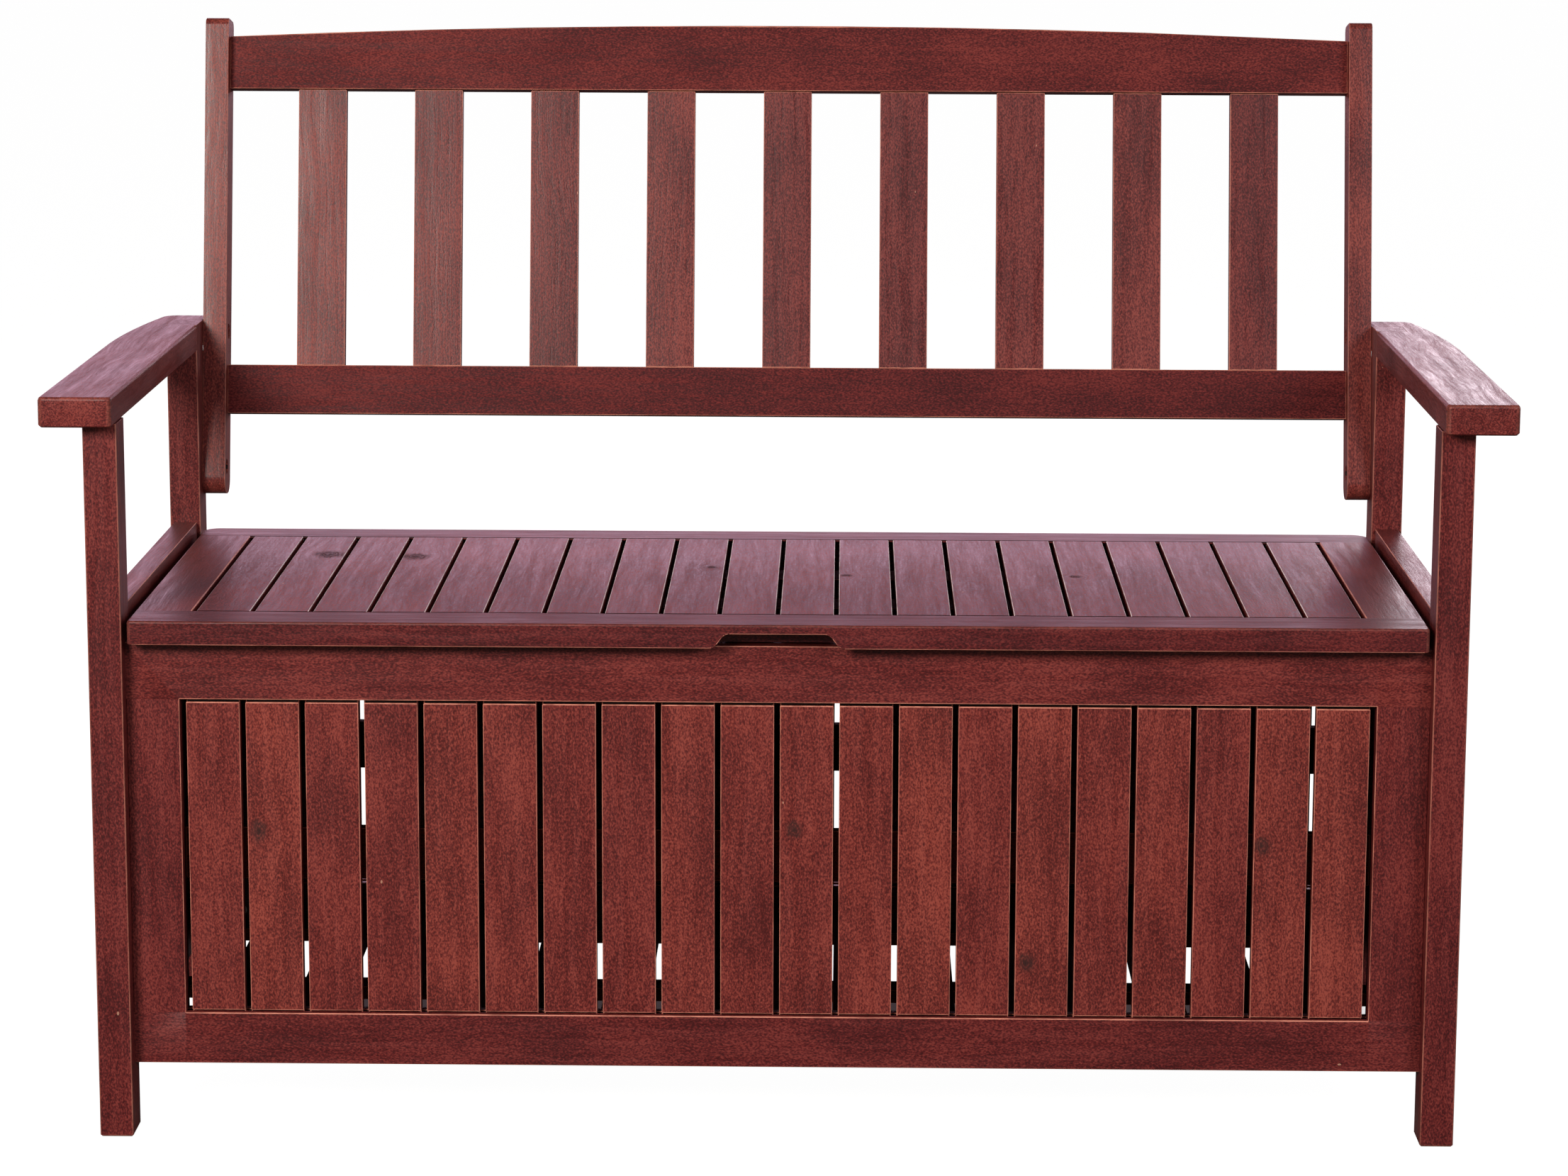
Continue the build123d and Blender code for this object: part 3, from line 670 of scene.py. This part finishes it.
@dataclass
class Carpenter:
    """Makes the dressed copy of a packed wooden solid.

    Attributes:
        stain: Material of the boards.
        ease: Width that is planed off each sharp edge, in metres.
        sharp: Smallest turn between two faces that counts as an edge.
        shortest: Edges that touch a shorter one than this, such as a facet of a bore, stay as they are.
        finest: The same limit for a piece without bores, where only chamfers leave short edges.
        chamfer_width: Widest strip that still counts as an eased edge of the solid.
        fillet_wear: How worn the wide rounded edges are.
        tongue: Faces nearer than this to the board's middle plane lie inside a joint and get painted
            shade.
        seam_turn: Cosine from which an eased strip faces a seam and is part of it.
        seam_shade: How dark the painted shade in a seam is.
        square: Cosine from which a face lies square to the board.
        butt_turn: Cosine from which a strip faces a butted side and stays unworn.
        butt_face: Cosine from which a face lies against a butted side.
        crease: Smallest turn at a strip's border that counts as its edge.
        crease_share: Share of a strip's outline that has to be such an edge.
        shading_turn: Largest turn between two faces that are shaded as one.
        ease_steps: Strips that make up one eased edge.
        knot_stretch: How much longer than wide a knot is.
        pattern_shift: Farthest place in the pattern that a board is cut from, in metres.
    """

    stain: bpy.types.Material
    ease: float = 0.9 * MM
    sharp: float = math.radians(60)
    shortest: float = 1.2 * MM
    finest: float = 0.7 * MM
    chamfer_width: float = 2.6 * MM
    fillet_wear: float = 0.12
    tongue: float = 3.6 * MM
    seam_turn: float = 0.3
    seam_shade: float = 0.85
    square: float = 0.96
    butt_turn: float = 0.4
    butt_face: float = 0.9
    crease: float = math.radians(26)
    crease_share: float = 0.45
    shading_turn: float = math.radians(50)
    ease_steps: int = 2
    knot_stretch: float = 1.25
    pattern_shift: float = 4.0

    def dress(
        self, node: str, grain: Grain, body: Body, slot: Slot = Slot.STAINED, *,
        knots: Sequence[Knot] = (), uptake: float = 0.0, rubbed: float = 1.0, trim: float | None = None,
        butted: Sequence[Vector] = (), seams: Sequence[Vector] = (),
    ) -> None:
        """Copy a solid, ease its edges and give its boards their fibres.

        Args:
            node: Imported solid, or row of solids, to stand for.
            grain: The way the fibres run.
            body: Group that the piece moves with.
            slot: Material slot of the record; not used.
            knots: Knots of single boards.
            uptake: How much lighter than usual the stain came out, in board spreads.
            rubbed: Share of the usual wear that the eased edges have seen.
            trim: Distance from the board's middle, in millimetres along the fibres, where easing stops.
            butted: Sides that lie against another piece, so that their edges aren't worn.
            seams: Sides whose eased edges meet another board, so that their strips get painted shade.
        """
        shape = copy_solid(node)
        for layer in list(shape.loops.layers.uv):
            shape.loops.layers.uv.remove(layer)
        # One layer holds the worn edges and the painted shade in joints and seams.
        wear_and_shade = shape.faces.layers.float.new("wear_and_shade")
        shape.verts.layers.float_vector.new("grain")
        shape.verts.layers.float_vector.new("knot")
        shape.verts.layers.float.new("board")
        for group in islands(shape):
            self.mark_eased(group, grain, wear_and_shade, butted)
        span = self.cut_span(shape, grain, trim)
        plain = all(edge.calc_length() > self.finest for edge in shape.edges)
        shortest = self.finest if plain else self.shortest
        for group in islands(shape):
            self.ease_edges(shape, group, wear_and_shade, span, butted, seams, shortest)
        for face in shape.faces:
            face[wear_and_shade] *= rubbed if face[wear_and_shade] > 0 else 1.0
        self.lay_fibres(shape, node, grain, knots, uptake)
        self.part_shading(shape, span)
        mesh = make_mesh(shape, f"{node}_board")
        mesh.materials.append(self.stain)
        piece = install(mesh, node, body)
        shading = piece.modifiers.new("even_faces", "WEIGHTED_NORMAL")
        shading.keep_sharp = True

    def mark_eased(
        self, group: Sequence[Vert], grain: Grain, wear_and_shade: Layer, butted: Sequence[Vector]
    ) -> None:
        """Mark the strips that one board's own eased edges left as worn, and give its tongues painted
        shade.

        Args:
            group: Vertices of the board.
            grain: The way the fibres run.
            wear_and_shade: Layer that takes the marks.
            butted: Sides that lie against another piece.
        """
        axes = grain.axes()
        centre = middle(group)
        for face in {face for vert in group for face in vert.link_faces}:
            face[wear_and_shade] = 0.0
            if max(abs(face.normal.dot(axis)) for axis in axes) > self.square:
                depth = abs((face.calc_center_median() - centre).dot(axes[2]))
                # Tongue faces inside a joint get painted shade.
                if abs(face.normal.dot(axes[2])) > self.square and depth < self.tongue:
                    face[wear_and_shade] = -1.0
                continue
            longest = max(edge.calc_length() for edge in face.edges)
            if face.calc_area() / longest > self.chamfer_width:
                continue
            if any(face.normal.dot(side) > self.butt_turn for side in butted):
                continue
            around = sum(edge.calc_length() for edge in face.edges)
            turned = sum(e.calc_length() for e in face.edges if e.calc_face_angle(0.0) > self.crease)
            face[wear_and_shade] = 1.0 if turned > self.crease_share * around else self.fillet_wear

    def cut_span(self, shape: Shape, grain: Grain, trim: float | None) -> Span:
        """Divide the faces at the trim on both sides of the middle, so that edges end there.

        Args:
            shape: Mesh of one board.
            grain: The way the fibres run.
            trim: Distance from the middle in millimetres, or none for the whole length.

        Returns:
            The stretch along the fibres that is eased.
        """
        along = grain.axes()[0]
        if trim is None:
            return Span(along, -math.inf, math.inf)
        centre = middle(shape.verts)
        for side in (-1, 1):
            bmesh.ops.bisect_plane(
                shape, geom=[*shape.verts, *shape.edges, *shape.faces], dist=WELD / 2,
                plane_co=centre + along * (side * trim * MM), plane_no=along,
            )
        place = centre.dot(along)
        return Span(along, place - trim * MM, place + trim * MM)

    def part_shading(self, shape: Shape, span: Span) -> None:
        """Part the shading at corners and where the easing stops, so that flat faces stay even.

        Args:
            shape: Mesh of the boards.
            span: Stretch along the fibres that is eased.
        """
        for edge in shape.edges:
            places = [vert.co.dot(span.along) for vert in edge.verts]
            cut = any(all(abs(place - end) < NEAR for place in places) for end in (span.low, span.high))
            edge.smooth = edge.calc_face_angle(0.0) < self.shading_turn and not cut

    def ease_edges(
        self, shape: Shape, group: Sequence[Vert], wear_and_shade: Layer, span: Span,
        butted: Sequence[Vector], seams: Sequence[Vector], shortest: float,
    ) -> None:
        """Round the sharp edges of one board, and mark the new strips as worn, or as painted shade in a
        seam.

        Args:
            shape: Mesh of the boards.
            group: Vertices of the board.
            wear_and_shade: Layer that takes the marks.
            span: Stretch along the fibres that is eased.
            butted: Sides that lie against another piece.
            seams: Sides whose eased edges meet another board.
            shortest: Edges that touch a shorter one than this stay as they are.
        """
        edges = {
            edge
            for vert in group
            for edge in vert.link_edges
            if len(edge.link_faces) == 2
            and edge.is_convex
            and edge.calc_face_angle(0.0) > self.sharp
            and all(span.holds(end.co) for end in edge.verts)
            and not any(
                face.normal.dot(side) > self.butt_face for face in edge.link_faces for side in butted
            )
            and min(near.calc_length() for end in edge.verts for near in end.link_edges) > shortest
        }
        if not edges:
            return
        ordered = sorted(edges, key=lambda edge: edge.index)
        made = bmesh.ops.bevel(
            shape, geom=ordered, offset=self.ease, offset_type="OFFSET", affect="EDGES",
            segments=self.ease_steps, profile=0.5, material=-1, clamp_overlap=True, loop_slide=True,
        )
        for face in made["faces"]:
            face.normal_update()
            # Strips that face a seam get painted shade instead of wear.
            in_seam = any(face.normal.dot(side) > self.seam_turn for side in seams)
            face[wear_and_shade] = -self.seam_shade if in_seam else 1.0

    def lay_fibres(
        self, shape: Shape, node: str, grain: Grain, knots: Sequence[Knot], uptake: float
    ) -> None:
        """Give each board its fibre coordinates, its own place in the pattern, its tone and its knot.

        Args:
            shape: Mesh of the boards.
            node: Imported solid, or row of solids, that they stand for.
            grain: The way the fibres run.
            knots: Knots of single boards.
            uptake: How much lighter than usual the stain came out, in board spreads.
        """
        place = shape.verts.layers.float_vector["grain"]
        from_knot = shape.verts.layers.float_vector["knot"]
        tone = shape.verts.layers.float["board"]
        axes = grain.axes()
        by_board = {knot.board: knot for knot in knots}
        for number, group in enumerate(islands(shape)):
            draw = random.Random(f"{node} {number}")
            shift = Vector([draw.uniform(-self.pattern_shift, self.pattern_shift) for _ in range(3)])
            share = draw.random() + uptake
            centre = middle(group)
            knot = by_board.get(number)
            for vert in group:
                own = Vector([(vert.co - centre).dot(axis) for axis in axes])
                vert[place] = own + shift
                vert[tone] = share
                vert[from_knot] = FAR_KNOT
                if knot is not None:
                    along = (own.x - knot.along * MM) / (self.knot_stretch * knot.radius * MM)
                    across = (own.y - knot.across * MM) / (knot.radius * MM)
                    vert[from_knot] = Vector((along, across, 0.0))


@dataclass
class Smith:
    """Makes the dressed steel fittings.

    Attributes:
        plate: Material of the fittings.
        crease: Smallest turn between two faces that shows as an edge.
    """

    plate: bpy.types.Material
    crease: float = math.radians(32)

    def polish(self, node: str) -> None:
        """Give a packed fitting that is right as it stands its plated finish.

        Args:
            node: Packed fitting.
        """
        mesh = frame["nodes"][node].data
        mesh.materials.clear()
        mesh.materials.append(self.plate)
        log.info("%s: plated as it stands", node)

    def cut(self, node: str, cutter: Shape, body: Body, slot: Slot) -> None:
        """Cut the driver recesses into a row of screws or bolts.

        Args:
            node: Packed row of fasteners to stand for.
            cutter: Closed shapes to take away.
            body: Group that the piece moves with.
            slot: Material slot of the record; not used.
        """
        blank, tool = [
            add_object(name, make_mesh(shape, name))
            for name, shape in ((f"{node}_raw", copy_solid(node)), (f"{node}_tool", cutter))
        ]
        drill = blank.modifiers.new("recess", "BOOLEAN")
        drill.operation = "DIFFERENCE"
        drill.solver = "EXACT"
        drill.object = tool
        bpy.context.view_layer.update()
        evaluated = blank.evaluated_get(bpy.context.evaluated_depsgraph_get())
        done = bpy.data.meshes.new_from_object(evaluated)
        done.name = f"{node}_steel"
        for item in (blank, tool):
            bpy.data.objects.remove(item)
        done.materials.clear()
        done.materials.append(self.plate)
        install(done, node, body)
        done.set_sharp_from_angle(angle=self.crease)


@dataclass
class Sides:
    """Legs, armrests and the slatted sides between the legs."""

    slat_knots: tuple[Knot, ...] = (Knot(2, 60.0, -9.0), Knot(6, -70.0, 8.0, 3.6))
    leg_uptake: float = -0.35
    leg_rubbed: float = 0.5

    def dress(self, wood: Carpenter) -> None:
        """Dress both sides.

        Args:
            wood: Carpenter with the usual finish.
        """
        for hand in SIDES:
            for leg in ("leg_front", "leg_rear"):
                wood.dress(
                    f"{leg}_{hand}", Grain.UPRIGHT, Body.FRAME,
                    uptake=self.leg_uptake, rubbed=self.leg_rubbed,
                )
            wood.dress(f"armrest_{hand}", Grain.DEEP, Body.FRAME)
            for rail in ("side_bottom_rail", "side_top_rail"):
                wood.dress(f"{rail}_{hand}", Grain.DEEP, Body.FRAME)
            wood.dress(f"side_slats_{hand}", Grain.UPRIGHT, Body.FRAME, knots=self.slat_knots)


@dataclass
class LongPanel:
    """Front or rear panel of the chest: two rails, two stiles, a row of slats and a batten."""

    name: str
    knots: tuple[Knot, ...] = ()
    opening_half: float = 496.0
    rail_uptake: float = -0.35
    slat_uptake: float = 1.1

    def dress(self, wood: Carpenter, inner: Carpenter) -> None:
        """Dress the panel.

        Args:
            wood: Carpenter with the usual finish.
            inner: Carpenter with the plainer finish, darkened as painted shade, for the batten.
        """
        for rail in ("bottom_rail", "top_rail"):
            wood.dress(
                f"{self.name}_{rail}", Grain.ACROSS, Body.FRAME,
                uptake=self.rail_uptake, trim=self.opening_half,
            )
        for hand, side in SIDES.items():
            wood.dress(
                f"{self.name}_stile_{hand}", Grain.UPRIGHT, Body.FRAME,
                uptake=self.rail_uptake, butted=(side, UP, -UP),
            )
        wood.dress(
            f"{self.name}_slats", Grain.UPRIGHT, Body.FRAME, knots=self.knots, uptake=self.slat_uptake
        )
        inner.dress(f"{self.name}_batten", Grain.ACROSS, Body.FRAME, Slot.INNER)


@dataclass
class ChestFloor:
    """Slatted floor of the chest on its ledgers and bearer."""

    strips: tuple[str, ...] = ("floor_ledger_front", "floor_bearer", "floor_ledger_rear")

    def dress(self, inner: Carpenter) -> None:
        """Dress the floor.

        Args:
            inner: Carpenter with the plainer finish, darkened as painted shade.
        """
        for strip in self.strips:
            inner.dress(strip, Grain.ACROSS, Body.FRAME, Slot.INNER)
        inner.dress("floor_slats", Grain.DEEP, Body.FRAME, Slot.INNER)


@dataclass
class SeatLid:
    """Hinged seat: rails, stiles and slats, with battens below."""

    knots: tuple[Knot, ...] = (
        Knot(1, 88.0, 9.0, 9.0),
        Knot(3, 80.0, -11.0, 8.0),
        Knot(8, 36.0, 11.5, 3.2),
        Knot(11, 0.0, -16.0, 3.0),
        Knot(15, 0.0, -11.0, 3.2),
    )
    seam_half: float = 488.0
    rail_uptake: float = -0.9

    def dress(self, wood: Carpenter, seat: Carpenter, inner: Carpenter) -> None:
        """Dress the lid.

        Args:
            wood: Carpenter with the usual finish.
            seat: Carpenter whose worn slat edges are painted near white, partly bare wood and partly a
                painted highlight, for the slats.
            inner: Carpenter with the plainer finish, darkened as painted shade, for the battens.
        """
        # Seams between the slat ends and the rails get painted shade.
        for rail, side in (("lid_front_rail", REAR), ("lid_rear_rail", -REAR)):
            wood.dress(
                rail, Grain.ACROSS, Body.LID,
                uptake=self.rail_uptake, trim=self.seam_half, seams=(side,),
            )
        for hand in SIDES:
            wood.dress(f"lid_stile_{hand}", Grain.DEEP, Body.LID, butted=(REAR, -REAR))
        seat.dress("lid_slats", Grain.DEEP, Body.LID, knots=self.knots, seams=(REAR, -REAR))
        inner.dress("lid_battens", Grain.ACROSS, Body.LID, Slot.INNER)


@dataclass
class LeaningBack:
    """Backrest: leaning stiles, arched crest rail, lower rail and slats."""

    slat_count: int = 9
    rail_uptake: float = -0.9
    stile_uptake: float = 0.6
    stile_rubbed: float = 0.5

    def dress(self, wood: Carpenter, matt: Carpenter) -> None:
        """Dress the back.

        Args:
            wood: Carpenter with the usual finish.
            matt: Carpenter with the duller finish, for the rails.
        """
        for hand in SIDES:
            wood.dress(
                f"back_stile_{hand}", Grain.LEANING, Body.FRAME,
                uptake=self.stile_uptake, rubbed=self.stile_rubbed,
            )
        for rail in ("back_lower_rail", "back_crest_rail"):
            matt.dress(rail, Grain.ACROSS, Body.FRAME, uptake=self.rail_uptake)
        for number in range(1, self.slat_count + 1):
            wood.dress(f"back_slat_{number}", Grain.LEANING, Body.FRAME)


@dataclass
class Fittings:
    """Hinges, screws, bolts and barrel nuts.

    Attributes:
        socket: Half the width across the flats of a bolt's hexagon socket.
        socket_depth: Depth of that socket.
        cross_length: Length of each arm pair of a screw's cross recess.
        cross_width: Width of an arm.
        cross_depth: Depth of the recess.
        whole: Fittings of both hinges that are right as they stand.
    """

    socket: float = 2.3 * MM
    socket_depth: float = 2.4 * MM
    cross_length: float = 3.2 * MM
    cross_width: float = 0.75 * MM
    cross_depth: float = 0.8 * MM
    whole: tuple[str, ...] = ("hinge_frame_leaf", "hinge_lid_leaf", "hinge_pin")

    def dress(self, smith: Smith) -> None:
        """Plate the fittings and cut the driver recesses.

        Args:
            smith: Smith with the plated finish.
        """
        for node in (*(f"{part}_{hand}" for part in self.whole for hand in SIDES), "barrel_nuts"):
            smith.polish(node)
        for node, axis, body in (("hinge_frame_screws", 2, Body.FRAME), ("hinge_lid_screws", 1, Body.LID)):
            smith.cut(node, self.crosses(node, axis), body, Slot.SCREW)
        for node, outward in (("panel_bolts", 1), ("back_bolts", -1)):
            smith.cut(node, self.sockets(node, outward), Body.FRAME, Slot.BOLT)

    def tops(self, node: str, axis: int, outward: int) -> list[Vector]:
        """Middle of each fastener's head face, on the axis that its shank follows.

        Args:
            node: Packed row of fasteners.
            axis: Number of that axis.
            outward: Sign of the heads' side; along X it counts away from the bench's middle.

        Returns:
            One point per fastener.
        """
        shape = copy_solid(node, merge=False)
        found = []
        for group in islands(shape):
            point = middle(group)
            sign = -outward if axis == 0 and point.x <= 0 else outward
            ends = [vert.co[axis] for vert in group]
            point[axis] = max(ends) if sign > 0 else min(ends)
            found.append(point)
        shape.free()
        return found

    def crosses(self, node: str, axis: int) -> Shape:
        """Cross-shaped cutters, each sunk from a screw head's face.

        Args:
            node: Packed row of screws.
            axis: Number of the axis that the shanks follow, with the heads on its positive side.

        Returns:
            The closed shapes to take away.
        """
        cutter = bmesh.new()
        arm, slim = self.cross_length / 2, self.cross_width / 2
        quarter = ((arm, slim), (slim, slim), (slim, arm))
        flat = [i for i in range(3) if i != axis]
        rise = Vector([2 * self.cross_depth if i == axis else 0.0 for i in range(3)])
        for point in self.tops(node, axis, 1):
            rim = []
            for turn in range(4):
                for along, across in quarter:
                    for _ in range(turn):
                        along, across = -across, along
                    spot = point - rise / 2
                    spot[flat[0]] += along
                    spot[flat[1]] += across
                    rim.append(cutter.verts.new(spot))
            base = cutter.faces.new(rim)
            grown = bmesh.ops.extrude_face_region(cutter, geom=[base])["geom"]
            upper = [item for item in grown if isinstance(item, Vert)]
            bmesh.ops.translate(cutter, verts=upper, vec=rise)
        bmesh.ops.recalc_face_normals(cutter, faces=cutter.faces)
        return cutter

    def sockets(self, node: str, outward: int) -> Shape:
        """Hexagon cutters, each sunk from a bolt head's face along X.

        Args:
            node: Packed row of bolts.
            outward: Sign of the heads' side, away from the bench's middle.

        Returns:
            The closed shapes to take away.
        """
        cutter = bmesh.new()
        radius = self.socket / math.cos(math.radians(30))
        for point in self.tops(node, 0, outward):
            spot = Matrix.Translation(point) @ Matrix.Rotation(math.radians(90), 4, "Y")
            bmesh.ops.create_cone(
                cutter, cap_ends=True, segments=6, radius1=radius, radius2=radius,
                depth=2 * self.socket_depth, matrix=spot,
            )
        return cutter


@dataclass(frozen=True)
class Softbox:
    """One soft studio light."""

    name: str
    place: Triple
    aim: Triple
    size: Pair
    power: float
    tone: str = "FFFFFF"

    def build(self) -> None:
        """Hang the light."""
        lamp = bpy.data.lights.new(self.name, "AREA")
        lamp.shape = "RECTANGLE"
        lamp.size, lamp.size_y = self.size
        lamp.energy = self.power
        lamp.color = linear(self.tone)[:3]
        hung = add_object(self.name, lamp)
        hung.location = self.place
        away = Vector(self.aim) - Vector(self.place)
        hung.rotation_euler = away.to_track_quat("-Z", "Y").to_euler()
        hung.visible_camera = False


@dataclass
class Studio:
    """White sweep, soft light and the camera at the photograph's viewing angle.

    Attributes:
        shade_half: Half the width of the painted shadow on the ground under the chest.
        shade_fade: Width over which that shade ends at the sides.
        shade_rows: Where the shade starts, is full, starts to end and ends, from front to rear.
    """

    # Camera.
    camera_place: Triple = (0.0543, -3.7764, 1.1270)
    camera_yaw: float = -0.0139
    camera_pitch: float = 0.1847
    camera_roll: float = 0.0036
    lens_mm: float = 99.69
    sensor_mm: float = 36.0
    view_limit: float = 200.0
    # Floor.
    floor_size: float = 60.0
    floor_tone: str = "76736F"
    paper_tone: str = "FFFFFF"
    paper_roughness: Pair = (0.85, 0.95)
    paper_clouds: float = 3.0
    paper_gloss: float = 0.1
    floor_glow: float = 0.98
    shade_half: float = 0.505
    shade_fade: float = 0.05
    shade_rows: Four = (-0.05, 0.11, 0.18, 0.225)
    # Light.
    air_tone: str = "DCD6E4"
    air_strength: float = 0.08
    lights: tuple[Softbox, ...] = (
        Softbox("key_softbox", (-1.9, -3.8, 2.2), (0.0, 0.0, 0.45), (1.4, 1.2), 166.0, "FFF2EA"),
        Softbox("fill_softbox", (2.6, -3.4, 2.2), (0.0, 0.0, 0.4), (2.0, 1.2), 76.0),
        Softbox("rear_softbox", (0.0, 4.0, 1.7), (0.0, 0.0, 0.45), (6.0, 2.0), 64.0, "FFCBE6"),
        Softbox("right_softbox", (1.4, 4.0, 1.2), (0.58, 0.0, 0.6), (0.7, 0.7), 7.0),
        Softbox("rear_left_softbox", (-3.4, 2.8, 0.9), (0.0, 0.0, 0.4), (1.4, 1.2), 36.0),
        Softbox("rear_right_softbox", (3.4, 2.8, 0.9), (0.0, 0.0, 0.4), (1.4, 1.2), 36.0),
    )

    def build(self) -> None:
        """Set up the floor, the air, the lights and the camera."""
        self.build_floor()
        self.build_air()
        for light in self.lights:
            light.build()
        self.build_camera()
        look = bpy.context.scene.view_settings
        look.view_transform = "Standard"
        look.look = "None"

    def build_floor(self) -> None:
        """Lay a plain grey floor, lifted for the eye to the white of a lit studio sweep, with a painted
        shadow under the chest.
        """
        shape = bmesh.new()
        bmesh.ops.create_grid(shape, x_segments=1, y_segments=1, size=self.floor_size / 2)
        mesh = make_mesh(shape, "studio_floor")
        made, tree = new_tree("studio_floor_paper")
        place = add_node(tree, "TexCoord", out="Object")
        cloud = add_node(tree, "TexNoise", {"Vector": place, "Scale": self.paper_clouds})
        low, high = self.paper_roughness
        rough = add_node(tree, "MapRange", {"Value": cloud, "To Min": low, "To Max": high})
        shader = add_node(
            tree, "BsdfPrincipled",
            {"Base Color": linear(self.floor_tone), "Roughness": rough,
             "Specular IOR Level": self.paper_gloss},
        )
        glow = add_node(
            tree, "Emission", {"Color": linear(self.paper_tone), "Strength": self.shade(tree, place)}
        )
        seen = add_node(tree, "LightPath")
        lift = add_node(tree, "MixShader", {0: seen, 2: glow})
        both = add_node(tree, "AddShader", {0: shader, 1: lift})
        add_node(tree, "OutputMaterial", {"Surface": both})
        mesh.materials.append(made)
        floor = add_object("studio_floor", mesh)

    def shade(self, tree: Tree, place: Socket) -> Socket:
        """Brightness of the floor, which falls off in a painted shadow on the ground under the chest.

        Args:
            tree: Node tree of the floor's material.
            place: Place on the floor.

        Returns:
            The brightness at that place.
        """
        parts = add_node(tree, "SeparateXYZ", {"Vector": place})
        aside = add_node(tree, "Math", {0: parts}, operation="ABSOLUTE")
        reach = (self.shade_half, self.shade_half + self.shade_fade)
        front, near, far, rear = self.shade_rows
        lit: Socket | float = 0.0
        for value, low, high in (
            (aside, *reach),
            (parts.node.outputs["Y"], near, front),
            (parts.node.outputs["Y"], far, rear),
        ):
            faded = add_node(tree, "MapRange", {"Value": value, "From Min": low, "From Max": high})
            lit = add_node(tree, "Math", {0: lit, 1: faded}, operation="MAXIMUM")
        return add_node(tree, "Math", {0: lit, 1: self.floor_glow}, operation="MULTIPLY")

    def build_air(self) -> None:
        """White backdrop for the eye, and a dimmer lavender room for the light."""
        world = bpy.data.worlds.new("studio_air")
        bpy.context.scene.world = world
        world.use_nodes = True
        tree = world.node_tree
        tree.nodes.clear()
        seen = add_node(tree, "LightPath")
        room = add_node(
            tree, "Background", {"Color": linear(self.air_tone), "Strength": self.air_strength}
        )
        white = add_node(tree, "Background", {"Color": linear(self.paper_tone), "Strength": 1.0})
        both = add_node(tree, "MixShader", {0: seen, 1: room, 2: white})
        add_node(tree, "OutputWorld", {"Surface": both})

    def build_camera(self) -> None:
        """Stand the camera where the photograph was taken from."""
        lens = bpy.data.cameras.new("photo_camera")
        lens.sensor_width = self.sensor_mm
        lens.lens = self.lens_mm
        lens.clip_end = self.view_limit
        camera = add_object("photo_camera", lens)
        level = math.cos(self.camera_pitch)
        ahead = Vector((
            math.sin(self.camera_yaw) * level,
            math.cos(self.camera_yaw) * level,
            -math.sin(self.camera_pitch),
        ))
        turn = ahead.to_track_quat("-Z", "Y").to_matrix() @ Matrix.Rotation(self.camera_roll, 3, "Z")
        camera.matrix_world = Matrix.Translation(self.camera_place) @ turn.to_4x4()
        bpy.context.scene.camera = camera


FRONT_KNOTS = (
    Knot(1, 22.0, -13.0, 5.0),
    Knot(10, 26.0, -10.0, 4.5),
    Knot(14, -87.0, -13.0, 4.5),
    Knot(18, 15.0, -15.0, 4.5),
)
REAR_KNOTS = (Knot(3, -40.0, 9.0), Knot(9, 70.0, -8.0, 3.8), Knot(16, 10.0, 6.0, 5.0))


def main() -> None:
    """Dress the whole bench and set up the studio."""
    logging.basicConfig(level=logging.INFO, format="%(name)s %(message)s")
    wood = Carpenter(StainedAcacia().material())
    # The inner pieces' darker stain tones are painted shade for the chest's dark inside; their rougher,
    # duller film is their own.
    dull_and_shaded = StainedAcacia(
        name="stained_acacia_inner", dark_tone="35120F", body_tone="4B1B18", warm_tone="5E261C",
        roughness=0.75, gloss=0.08, worn_share=0.5,
    )
    inner = Carpenter(dull_and_shaded.material())
    matt = Carpenter(StainedAcacia(name="stained_acacia_matt", roughness=0.52, gloss=0.12).material())
    # The seat's worn edges are painted near white: partly bare wood, partly a painted highlight on the
    # slat edges.
    gritty_and_highlit = StainedAcacia(
        name="stained_acacia_seat", worn_tone="FFF0EC",
        mottle=Pattern(6.0, 1.5, 1.0), relief_shares=(0.7, 0.5, 0.7),
    )
    seat = Carpenter(gritty_and_highlit.material())
    plate = PlatedSteel("zinc_plated_steel").material()
    Studio().build()
    Sides().dress(wood)
    LongPanel("front", FRONT_KNOTS).dress(wood, inner)
    LongPanel("rear", REAR_KNOTS).dress(wood, inner)
    ChestFloor().dress(inner)
    SeatLid().dress(wood, seat, inner)
    LeaningBack().dress(wood, matt)
    Fittings().dress(Smith(plate))


if __name__ == "__main__":
    main()
